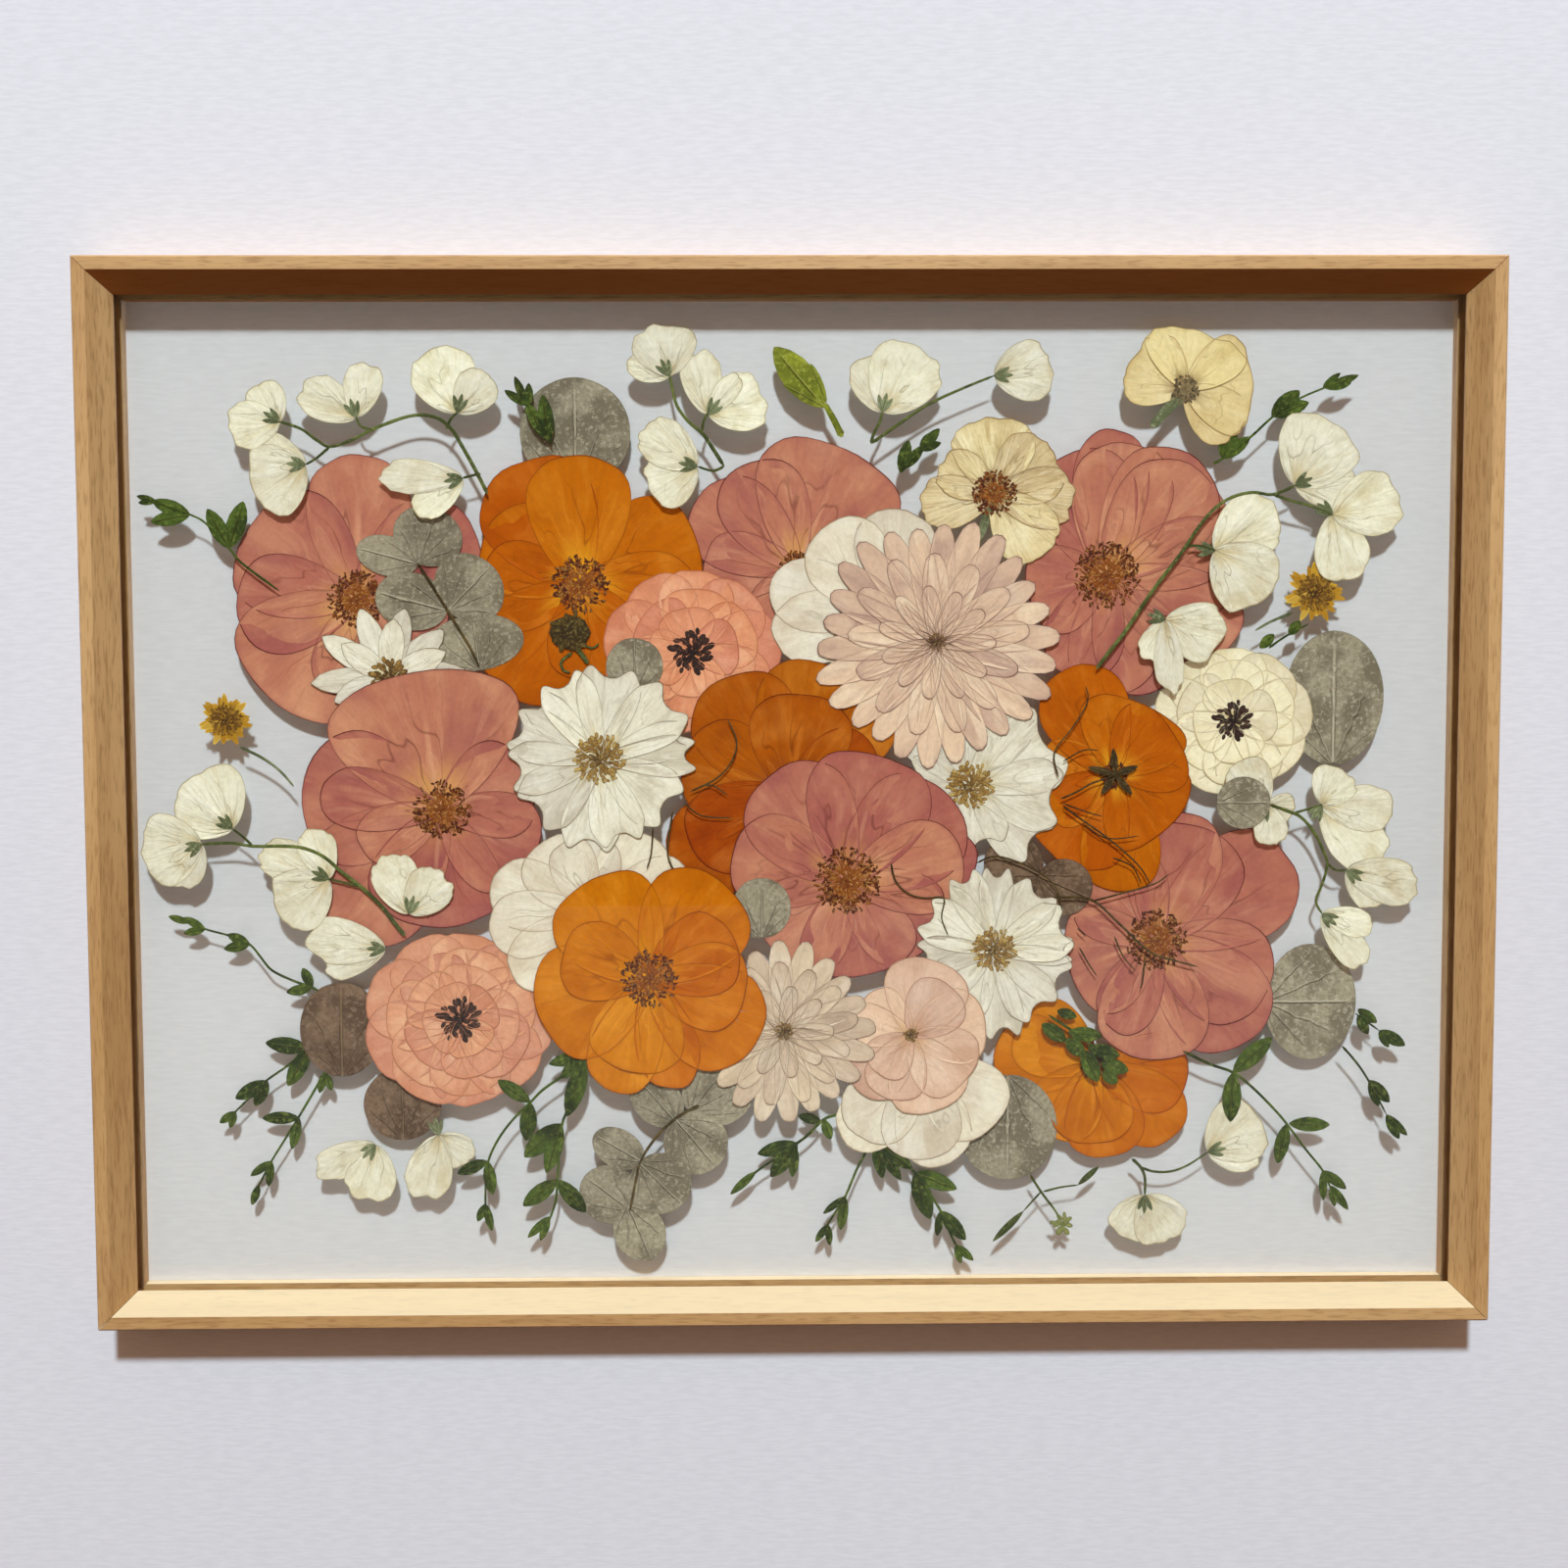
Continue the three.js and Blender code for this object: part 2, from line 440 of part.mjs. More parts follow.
function topRail() {
  const top = FRAME_HEIGHT / 2 - HANGER_INSET;
  const recess = box(
    [-HANGER_LENGTH / 2 - RECESS_MARGIN, HANGER_LENGTH / 2 + RECESS_MARGIN],
    [-RECESS_DEPTH, 1],
    [top - HANGER_HEIGHT - RECESS_MARGIN, top + RECESS_MARGIN],
  );
  return toGeometry(toSolid(outward(mitredBar(RAIL_SECTION, 0))).subtract(toSolid(recess)));
}

function hanger() {
  const top = FRAME_HEIGHT / 2 - HANGER_INSET;
  const bottom = top - HANGER_HEIGHT;
  const outline = [[HANGER_LENGTH / 2, top], [-HANGER_LENGTH / 2, top], [-HANGER_LENGTH / 2, bottom]];
  const pitch = HANGER_LENGTH / HANGER_TEETH;
  for (let k = 0; k < HANGER_TEETH; k += 1) {
    const x = -HANGER_LENGTH / 2 + k * pitch;
    if (k > 0) {
      outline.push([x, bottom]);
    }
    outline.push([x + pitch / 2, bottom + TOOTH_DEPTH]);
  }
  outline.push([HANGER_LENGTH / 2, bottom]);
  return plate(outline.reverse(), FRAME_DEPTH - RECESS_DEPTH + HANGER_REST + HANGER_THICK, HANGER_THICK);
}

function pane(depths) {
  const x = FRAME_WIDTH / 2 - RABBET_INSET - FIT_GAP;
  const z = FRAME_HEIGHT / 2 - RABBET_INSET - FIT_GAP;
  return box([-x, x], [depths[0] - FRAME_DEPTH, depths[1] - FRAME_DEPTH], [-z, z]);
}

// ---- plants ----

const levelBack = (level) => LEVEL_BACK - level * LEVEL_PITCH;

// The outermost petals, and in front of them the next ring or the front half of the list.
function petalTiers({ rings, petals }) {
  if (rings) {
    return ringPetals(rings.slice(0, rings[0][3] < NARROW_PETAL ? 1 : 2));
  }
  const half = petals[0][2] < NARROW_PETAL ? petals.length : Math.ceil(petals.length / 2);
  return [petals.slice(0, half), petals.slice(half)];
}

function flowerHead(flower) {
  const [x, z] = flower.at;
  const back = levelBack(flower.level);
  const tiers = petalTiers(flower);
  const solids = tiers.flatMap((tier, k) => {
    const thick = PETAL_THICK[k];
    return tier.map(([angle, length, width]) => {
      const narrow = width < NARROW_PETAL;
      const style = { egg: narrow ? NARROW_EGG : PETAL_EGG, points: narrow ? 6 : 7 };
      return plate(petalOutline([x, z, angle, length, width], style), back, thick);
    });
  });
  solids.push(plate(discOutline(x, z, flower.eye), back, EYE_THICK));
  if (flower.stem) {
    solids.push(plate(stemOutline(flower.stem[0], flower.stem.slice(1)), back, STALK_THICK));
  }
  return joined(solids);
}

function roundLeafSprig({ level, stems = [], leaves }) {
  const back = levelBack(level);
  return joined([
    ...leaves.map((leaf) => {
      const style = { egg: 0, points: leaf[4] > LARGE_LEAF ? LARGE_LEAF_POINTS : SMALL_LEAF_POINTS };
      return plate(petalOutline(leaf, style), back, PETAL_THICK[0]);
    }),
    ...stems.map(([width, ...path]) => plate(stemOutline(width, path), back, PETAL_THICK[0])),
  ]);
}

function sweetPeaSpray({ level, stems, florets }) {
  const back = levelBack(level);
  const style = { egg: FLORET_EGG, points: 6 };
  const petals = florets.flatMap(([x, z, list]) => list.map(([angle, length, width]) => (
    plate(petalOutline([x, z, angle, length, width], style), back, PETAL_THICK[0]))));
  const calyces = florets.map(([x, z]) => plate(discOutline(x, z, CALYX_RADIUS, 4), back, STEM_THICK));
  const stalks = stems.map(([width, ...path]) => plate(stemOutline(width, path), back, STEM_THICK));
  return joined([...petals, ...calyces, ...stalks]);
}

function foliage({ level, stems, leaves }) {
  const back = levelBack(level);
  return joined([
    ...leaves.map((leaf) => plate(leafOutline(leaf), back, PETAL_THICK[0])),
    ...stems.map(([width, ...path]) => plate(stemOutline(width, path), back, PETAL_THICK[0])),
  ]);
}

// ---- assembly ----

const frame = new THREE.Group();
frame.position.set(0, 0, -HANG_Z);

function add(name, geometry, finish) {
  const [color, roughness, metalness] = FINISHES[finish];
  const mesh = new THREE.Mesh(geometry, new THREE.MeshStandardMaterial({ color, roughness, metalness }));
  mesh.name = name;
  frame.add(mesh);
}

// The finish of a bloom or leaf is the first whose word is in its name.
function finishOf(name, words, otherwise) {
  const found = words.find(([word]) => name.includes(word));
  return found ? found[1] : otherwise;
}

['top', 'right', 'bottom', 'left'].forEach((side, k) => {
  add(`rail_${side}`, k === 0 ? topRail() : outward(mitredBar(RAIL_SECTION, k)), 'maple');
  add(`stop_${side}`, outward(mitredBar(STOP_SECTION, k)), 'paleMaple');
});
add('glass_front', pane(FRONT_GLASS), 'glass');
add('glass_back', pane(BACK_GLASS), 'glass');
add('sawtooth_hanger', hanger(), 'steel');
Object.entries(FLOWERS).forEach(([name, flower]) => {
  add(name, flowerHead(flower), finishOf(name, BLOOM_WORDS, 'whitePetal'));
});
Object.entries(ROUND_LEAVES).forEach(([name, sprig]) => {
  add(name, roundLeafSprig(sprig), finishOf(name, [['brown', 'brownLeaf']], 'eucalyptus'));
});
Object.entries(SWEET_PEAS).forEach(([name, spray]) => add(name, sweetPeaSpray(spray), 'creamPetal'));
Object.entries(FOLIAGE).forEach(([name, sprig]) => {
  add(name, foliage(sprig), finishOf(name, [['bud', 'bud']], 'darkLeaf'));
});

export default frame;
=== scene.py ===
"""Pressed flower frame: dried blooms between two panes of glass in a bevelled maple frame."""
import math

import bpy
from mathutils import Matrix, Vector, noise


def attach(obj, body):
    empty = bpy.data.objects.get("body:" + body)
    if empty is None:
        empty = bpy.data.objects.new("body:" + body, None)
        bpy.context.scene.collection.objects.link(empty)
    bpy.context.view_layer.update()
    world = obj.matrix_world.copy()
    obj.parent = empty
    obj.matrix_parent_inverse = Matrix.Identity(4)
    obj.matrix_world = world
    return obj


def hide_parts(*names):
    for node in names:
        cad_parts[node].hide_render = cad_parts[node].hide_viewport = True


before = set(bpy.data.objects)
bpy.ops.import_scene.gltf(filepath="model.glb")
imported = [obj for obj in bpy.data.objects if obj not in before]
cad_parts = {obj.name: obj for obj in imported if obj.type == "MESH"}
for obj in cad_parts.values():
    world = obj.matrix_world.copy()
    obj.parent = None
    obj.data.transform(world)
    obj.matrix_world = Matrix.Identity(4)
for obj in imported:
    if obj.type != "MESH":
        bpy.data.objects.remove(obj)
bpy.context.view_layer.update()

# Plan measures are in millimetres: x to the right and z up from the frame's middle, depth behind its front.
MM = 0.001
HANG_Z = 232.8
FRAME_DEPTH = 24

# Each plant lies in its own layer between the panes, and layers are counted from the back pane.
LAYER_BACK = 17.45
LAYER_PITCH = 0.4
PETAL_FLOOR = 0.02
PETAL_SPREAD = 0.2
EYE_DEPTH = 0.24
STEM_MIDDLE = 0.15
STEM_THICK = 0.28

# ---- where the plants lie ----

# Each petal is an angle, a length and a width, and each ring a count, a first angle, a length and a width.
FLOWERS = {
    "rose_upper_left": {"kind": "dusty_rose", "at": [-197, 90], "level": 0, "eye": 13, "curl": 0.35,
        "petals": [[34, 64, 46], [330, 44, 40], [275, 46, 46], [88, 67, 46], [145, 60, 58], [183, 56, 44],
        [228, 62, 64]]},
    "rose_orange_upper": {"kind": "orange_rose", "at": [-96, 97], "level": 1, "eye": 13, "curl": 0.25,
        "petals": [[150, 50, 42], [18, 58, 56], [120, 63, 52], [182, 46, 40], [233, 62, 52], [348, 54, 42],
        [285, 45, 45], [91, 60, 46]]},
    "ranunculus_coral": {"kind": "coral_ranunculus", "at": [-46, 66], "level": 2, "eye": 9, "curl": 0.3,
        "rings": [[9, 5, 40, 33], [6, 23, 30, 30], [4, 10, 21, 25]]},
    "rose_upper_middle": {"kind": "dusty_rose", "at": [2, 104], "level": 0, "eye": 8, "curl": 0.3,
        "petals": [[330, 32, 34], [250, 28, 30], [178, 44, 30], [145, 56, 42], [118, 54, 40], [68, 60, 66]]},
    "white_flower_upper": {"kind": "white_flower", "at": [45, 85], "level": 3, "eye": 6, "curl": 0.25,
        "petals": [[20, 35, 34], [300, 38, 34], [240, 40, 34], [193, 57, 32], [170, 58, 32], [88, 46, 36],
        [132, 50, 38]]},
    "chrysanthemum_mauve": {"kind": "chrysanthemum", "at": [64.5, 70], "level": 5, "eye": 4, "curl": 0.5,
        "rings": [[26, 3, 56, 12.5], [13, 8, 42, 12], [11, 0, 27, 8]]},
    "rose_cream_crinkled": {"kind": "crinkled_rose", "at": [91, 137], "level": 1, "eye": 10, "curl": 0.5,
        "stem": [5, [90, 133], [83, 115]],
        "petals": [[150, 30, 22], [92, 36, 38], [190, 36, 24], [35, 34, 34], [355, 38, 28], [310, 38, 30]]},
    "rose_upper_right": {"kind": "dusty_rose", "at": [142, 100], "level": 0, "eye": 15, "curl": 0.35,
        "petals": [[105, 60, 45], [88, 68, 34], [80, 62, 45], [335, 68, 40], [5, 62, 45], [295, 58, 40],
        [275, 56, 40], [250, 50, 36], [195, 38, 40], [52, 68, 50], [38, 64, 60]]},
    "poppy_cream": {"kind": "poppy", "at": [176, 183], "level": 7, "eye": 6, "curl": 0.6,
        "stem": [5.5, [176, 182], [168, 174], [161, 166]],
        "petals": [[322, 33, 26], [150, 29, 34], [5, 32, 44], [75, 28, 46]]},
    "daisy_white": {"kind": "daisy", "at": [-183, 55], "level": 3, "eye": 8,
        "rings": [[10, 4, 35, 12], [6, 24, 28, 12]]},
    "rose_left": {"kind": "dusty_rose", "at": [-160, -5], "level": 4, "eye": 13, "curl": 0.4,
        "petals": [[172, 65, 60], [225, 75, 60], [265, 55, 60], [330, 48, 46], [20, 44, 44], [205, 42, 26],
        [100, 66, 84], [172, 57, 28]]},
    "cosmos_left": {"kind": "cosmos", "at": [-88, 18], "level": 7, "eye": 11, "curl": 0.5,
        "petals": [[138, 42, 16], [15, 43, 16], [188, 43, 22], [262, 44, 24], [325, 42, 26], [82, 44, 26],
        [160, 44, 22], [218, 42, 26], [285, 42, 22], [2, 46, 17], [38, 46, 26], [116, 43, 23]]},
    "rose_orange_middle": {"kind": "deep_orange_rose", "at": [-2, 2], "level": 4, "eye": 6,
        "petals": [[65, 64, 64], [122, 62, 48], [160, 52, 45], [215, 66, 44], [20, 45, 40], [210, 52, 40],
        [80, 47, 46]]},
    "rose_middle": {"kind": "dusty_rose", "at": [24, -38], "level": 6, "eye": 15, "curl": 0.3,
        "petals": [[12, 62, 34], [325, 50, 44], [280, 46, 52], [225, 48, 46], [165, 56, 42], [125, 62, 50],
        [38, 62, 52], [75, 62, 56], [10, 56, 42]]},
    "cosmos_right": {"kind": "cosmos", "at": [80, 5], "level": 4, "eye": 10,
        "petals": [[170, 30, 20], [125, 42, 28], [240, 28, 20], [90, 42, 28], [285, 30, 22], [320, 44, 28],
        [62, 44, 26], [352, 44, 30], [32, 46, 38]]},
    "rose_orange_right": {"kind": "orange_rose", "at": [146, 10], "level": 2, "eye": 6, "curl": 0.3,
        "petals": [[190, 36, 40], [275, 56, 36], [235, 48, 48], [115, 54, 40], [315, 36, 46], [68, 36, 50],
        [35, 34, 44]]},
    "rose_right": {"kind": "dusty_rose", "at": [166, -66], "level": 1, "eye": 14, "curl": 0.4,
        "petals": [[315, 66, 48], [32, 74, 50], [200, 44, 50], [130, 42, 46], [79, 62, 44], [335, 58, 48],
        [66, 58, 50], [268, 57, 50], [245, 48, 28]]},
    "ranunculus_cream": {"kind": "cream_ranunculus", "at": [200, 34], "level": 1, "eye": 8, "curl": 0.4,
        "rings": [[9, 10, 36, 30], [6, 30, 29, 27], [4, 12, 20, 23]]},
    "white_flower_left": {"kind": "white_flower", "at": [-93, -52], "level": 6, "eye": 5, "curl": 0.3,
        "petals": [[23, 50, 24], [44, 46, 34], [95, 36, 32], [124, 40, 34], [164, 48, 32], [224, 48, 30],
        [190, 48, 30]]},
    "rose_orange_lower": {"kind": "bright_orange_rose", "at": [-66, -82], "level": 10, "eye": 13,
        "curl": 0.5,
        "petals": [[198, 55, 52], [251, 57, 32], [284, 54, 28], [328, 58, 48], [52, 57, 50], [125, 55, 50],
        [352, 46, 40], [258, 46, 42], [162, 43, 36], [24, 44, 38]]},
    "ranunculus_peach": {"kind": "peach_ranunculus", "at": [-153, -101], "level": 5, "eye": 9, "curl": 0.5,
        "rings": [[9, 0, 43, 36], [7, 20, 35, 32], [5, 0, 27, 28], [4, 30, 18, 22]]},
    "cosmos_small": {"kind": "cosmos", "at": [91, -70], "level": 7, "eye": 9.5, "curl": 0.5,
        "petals": [[133, 37, 16], [88, 40, 14], [0, 38, 13], [213, 34, 18], [240, 36, 20], [277, 43, 18],
        [335, 38, 22], [52, 38, 21], [113, 40, 16], [185, 37, 16], [152, 38, 20], [18, 38, 24],
        [308, 38, 22]]},
    "hydrangea_blush": {"kind": "hydrangea", "at": [53, -109], "level": 8, "eye": 3, "curl": 0.35,
        "petals": [[228, 36, 26], [175, 34, 26], [10, 36, 34], [290, 38, 36], [72, 37, 38], [250, 32, 28],
        [150, 28, 28], [322, 34, 34], [50, 30, 28], [225, 24, 22]]},
    "white_flower_lower": {"kind": "white_flower", "at": [58, -122], "level": 6, "eye": 5, "curl": 0.3,
        "petals": [[228, 52, 30], [280, 50, 34], [321, 46, 38], [227, 46, 34], [270, 46, 36]]},
    "aster_blush": {"kind": "aster", "at": [-5, -107], "level": 9, "eye": 4, "curl": 0.4,
        "rings": [[20, 3, 42, 11], [13, 10, 34, 10], [9, 0, 23, 8]]},
    "rose_orange_corner": {"kind": "bright_orange_rose", "at": [138, -124], "level": 0, "eye": 6,
        "curl": 0.5,
        "petals": [[150, 42, 36], [170, 48, 36], [235, 40, 34], [320, 52, 34], [280, 45, 36], [352, 44, 36],
        [268, 38, 37]]},
}

# Leaves with one foot share its x and z, each an angle, a length and a width. A stem is a width and points.
ROUND_LEAVES = {
    "eucalyptus_leaf_top": {"kind": "eucalyptus", "level": 0, "leaves": [[-98, 140, [90, 50, 50]]]},
    "eucalyptus_leaf_right": {"kind": "eucalyptus", "level": 0, "leaves": [[246, 14, [90, 62, 46]]]},
    "eucalyptus_leaf_lower_right": {"kind": "eucalyptus", "level": 0, "leaves": [[216, -95, [0, 43, 54]]]},
    "eucalyptus_leaf_bottom": {"kind": "eucalyptus", "level": 1, "leaves": [[98, -128, [270, 50, 46]]]},
    "eucalyptus_leaf_brown_left": {"kind": "brown_leaf", "level": 4, "leaves": [[-207, -127, [90, 44, 38]]]},
    "eucalyptus_leaf_brown_lower": {"kind": "brown_leaf", "level": 0,
        "leaves": [[-180, -157, [90, 34, 36]]]},
    "eucalyptus_leaf_middle": {"kind": "eucalyptus", "level": 7, "leaves": [[-15, -64, [90, 28, 27]]]},
    "eucalyptus_leaf_small_right": {"kind": "eucalyptus", "level": 9, "leaves": [[192, -3, [0, 25, 24]]]},
    "eucalyptus_pair_brown": {"kind": "brown_leaf", "level": 3,
        "leaves": [[113, -36, [159, 28, 27]], [111, -36, [336, 27, 26]]]},
    "eucalyptus_sprig_left": {"kind": "eucalyptus", "level": 2,
        "stems": [[1.6, [-169, 106], [-156, 85], [-152, 78], [-146, 68], [-142, 59]]],
        "leaves": [[-169, 106, [165, 29, 18]], [-156, 85, [165, 34, 26]], [-142, 58, [97, 26, 44]],
        [-169, 106, [70, 27, 32]], [-156, 85, [46, 29, 34]]]},
    "eucalyptus_sprig_bottom": {"kind": "eucalyptus", "level": 7,
        "stems": [[1.6, [-44, -141], [-50, -144], [-56, -148], [-64, -156], [-71, -167], [-74, -180],
        [-76, -190]]],
        "leaves": [[-44, -146, [28, 27, 20]], [-48, -144, [52, 25, 22]], [-54, -149, [131, 29, 22]],
        [-74, -191, [142, 29, 27]], [-77, -187, [293, 28, 24]], [-55, -147, [310, 30, 30]],
        [-72, -167, [315, 29, 29]], [-70, -167, [150, 26, 18]]]},
}

# Each floret is its foot's x and z and its petals.
SWEET_PEAS = {
    "sweet_pea_spray_upper_left": {"level": 8,
        "stems": [[1.8, [-137, 137], [-142, 147], [-148, 158], [-153, 166], [-160, 171], [-171, 171.5],
        [-187, 166], [-197, 161], [-207, 158], [-213, 161], [-220, 166], [-229, 169]],
        [1.4, [-207, 158], [-213, 153], [-218, 150]], [1.4, [-187, 165], [-193, 167], [-195, 171]],
        [1.4, [-155, 165.6], [-153, 170], [-150, 173]], [1.4, [-140, 146], [-144, 145], [-148, 144]]],
        "florets": [[-229, 169, [125, 21, 20], [185, 25, 22]], [-218, 150, [160, 27, 18], [205, 28, 34]],
        [-195, 171, [150, 30, 20], [78, 27, 18]], [-150, 173, [110, 32, 30], [50, 24, 20]],
        [-148, 144, [215, 28, 16], [178, 40, 16]]]},
    "sweet_pea_spray_top": {"level": 8,
        "stems": [[1.8, [-31, 149], [-38, 160], [-41, 164], [-47, 169], [-52, 176], [-54, 184], [-55, 189]],
        [1.4, [-41, 164], [-40, 169], [-38, 173]], [1.4, [-31, 149], [-36, 147], [-43, 149]]],
        "florets": [[-55, 189, [150, 22, 18], [100, 25, 30]],
        [-38, 172, [100, 31, 19], [20, 29, 27], [52, 24, 11]], [-43, 149, [205, 26, 26], [145, 32, 22]]]},
    "sweet_pea_spray_upper_middle": {"level": 8,
        "stems": [[1.6, [35, 159], [36, 163], [39, 169], [40, 173]],
        [1.6, [35, 159], [45, 166], [60, 176], [75, 183], [90, 189]]],
        "florets": [[40, 173, [105, 28, 22], [60, 36, 34]], [90, 189, [8, 28, 28]]]},
    "sweet_pea_spray_right": {"level": 8,
        "stems": [[1.9, [137, 58], [143, 66], [150, 75], [158, 87], [165, 97], [172, 106], [177, 113],
        [183, 122], [190, 130], [198, 135], [207, 137], [216, 136], [226, 140]],
        [1.5, [216, 136], [225, 133], [233, 131], [243, 127]], [1.4, [177, 113], [184, 113], [190, 111]]],
        "florets": [[226, 140, [0, 30, 22], [60, 36, 38]], [243, 127, [285, 33, 26], [15, 34, 30]],
        [190, 111, [35, 36, 30], [320, 34, 34]]]},
    "sweet_pea_spray_lower_right": {"level": 8,
        "stems": [[1.6, [216, -4], [225, -7], [231, -10], [237, -17], [241, -25], [243, -31], [241, -40],
        [238, -48], [241, -54]], [1.3, [227, -8], [234, -6], [240, -4]],
        [1.3, [243, -31], [247, -34], [252, -34]]],
        "florets": [[240, -4, [315, 42, 26], [355, 36, 22], [60, 20, 22]],
        [252, -34, [315, 24, 16], [345, 36, 22]], [241, -54, [310, 34, 16], [345, 26, 14]],
        [215, -4, [125, 26, 22], [350, 14, 14], [280, 20, 16]]]},
    "sweet_pea_spray_left": {"level": 8,
        "stems": [[1.9, [-177, -62], [-181, -57], [-187, -49], [-195, -41], [-205, -33], [-213, -26],
        [-222, -22], [-232, -21], [-245, -21], [-255, -19.5], [-268, -20]],
        [1.4, [-245, -21], [-249, -17], [-254, -13]], [1.4, [-197, -39.5], [-203, -38], [-211, -36]]],
        "florets": [[-268, -20, [228, 24, 22], [188, 29, 34]], [-254, -13, [165, 30, 18], [125, 32, 36]],
        [-211, -36, [157, 36, 20], [110, 26, 18], [215, 30, 30]]]},
    "sweet_pea_spray_bottom": {"level": 7,
        "stems": [[1.6, [155, -167], [159, -171], [161, -176], [161, -184]],
        [1.3, [159, -171], [165, -173], [173, -173], [181, -170], [190, -164]]],
        "florets": [[161, -184, [250, 24, 24], [300, 26, 26]], [190, -164, [0, 26, 20], [35, 31, 32]]]},
}

FOLIAGE = {
    "foliage_left": {"kind": "foliage", "level": 3,
        "stems": [[1.3, [-206, -98], [-218, -87], [-228, -83], [-238, -78], [-243, -72], [-248, -66],
        [-257, -62], [-266, -59.5], [-276, -56]], [1.3, [-206, -98], [-214, -108], [-222, -114],
        [-232, -122], [-242, -129], [-250, -137], [-257, -144]], [1.3, [-206, -98], [-210, -115],
        [-215, -125], [-225, -142], [-235, -158], [-240, -166], [-247, -179]]],
        "leaves": [[-220, -86, [115, 10, 5], [190, 12, 5]], [-248, -66, [155, 11, 5], [190, 12, 5]],
        [-268, -59, [190, 10, 4], [150, 11, 4]], [-275, -56, [162, 10, 3.5]],
        [-222, -114, [172, 20, 8], [240, 20, 8]], [-241, -129, [208, 17, 7], [242, 13, 6]],
        [-256, -143, [215, 9, 4], [250, 8, 3.5]], [-215, -125, [255, 10, 4], [290, 9, 4]],
        [-227, -146, [180, 17, 6], [256, 15, 5]], [-240, -166, [215, 12, 4], [262, 12, 4]],
        [-246, -177, [250, 10, 4]]]},
    "foliage_lower_left": {"kind": "foliage", "level": 8,
        "stems": [[1.4, [-92, -112], [-95, -117], [-105, -126], [-115, -133], [-121, -139], [-130, -148],
        [-137, -158], [-141, -168], [-142, -180], [-142, -188]], [1.4, [-92, -112], [-96, -120],
        [-100, -135], [-106, -147], [-108, -160], [-109, -175], [-110, -185], [-113, -194]]],
        "leaves": [[-96, -117, [195, 17, 6]], [-96, -118, [222, 15, 6]],
        [-121, -139, [145, 18, 7], [263, 18, 8]], [-141, -166, [203, 15, 6], [278, 16, 6]],
        [-142, -186, [245, 9, 4], [282, 13, 4]], [-96, -120, [252, 27, 9]],
        [-107, -149, [222, 23, 10], [253, 24, 8]], [-109, -175, [217, 20, 8], [310, 20, 8]],
        [-113, -192, [225, 14, 4], [250, 12, 4]]]},
    "foliage_bottom": {"kind": "foliage", "level": 5,
        "stems": [[1.5, [30, -145], [15, -147], [5, -156], [-5, -163], [-12, -168], [-19, -173],
        [-28, -181]], [1.4, [30, -145], [34, -158], [28, -172], [23, -184], [18, -192], [13, -200]],
        [1.5, [30, -145], [37, -158], [45, -163], [55, -173], [62, -183], [68, -193], [72, -203],
        [77, -212]]],
        "leaves": [[13, -148, [290, 10, 5]], [12, -149, [165, 11, 5]], [1, -159, [195, 19, 7], [232, 20, 8]],
        [0, -160, [265, 15, 5]], [-18, -172, [222, 16, 4]], [23, -184, [218, 13, 3.5], [262, 16, 5]],
        [15, -197, [235, 10, 3.5], [275, 10, 3.5]], [37, -158, [280, 18, 6], [302, 22, 6]],
        [38, -159, [322, 20, 7]], [55, -173, [338, 21, 8], [288, 23, 9]],
        [67, -191, [310, 18, 7], [262, 12, 4]], [74, -207, [318, 11, 4], [285, 9, 3.5]]]},
    "foliage_lower_right": {"kind": "foliage", "level": 8,
        "stems": [[1.4, [178, -117], [190, -123], [201, -127], [210, -134], [220, -144], [226, -151],
        [235, -163], [243, -173], [247, -182]]],
        "leaves": [[201, -127, [42, 24, 9], [268, 23, 9]], [227, -151, [358, 19, 7]],
        [226, -151, [258, 19, 7]], [243, -173, [322, 14, 5], [272, 14, 4]],
        [247, -180, [305, 14, 4], [280, 10, 3.5]]]},
    "lisianthus_bud": {"kind": "bud", "level": 8, "stems": [[3.4, [22, 162], [18, 170], [14, 177]]],
        "leaves": [[14, 175, [130, 35, 15]], [13, 176, [152, 20, 4]], [15, 177, [112, 19, 4]]]},
}

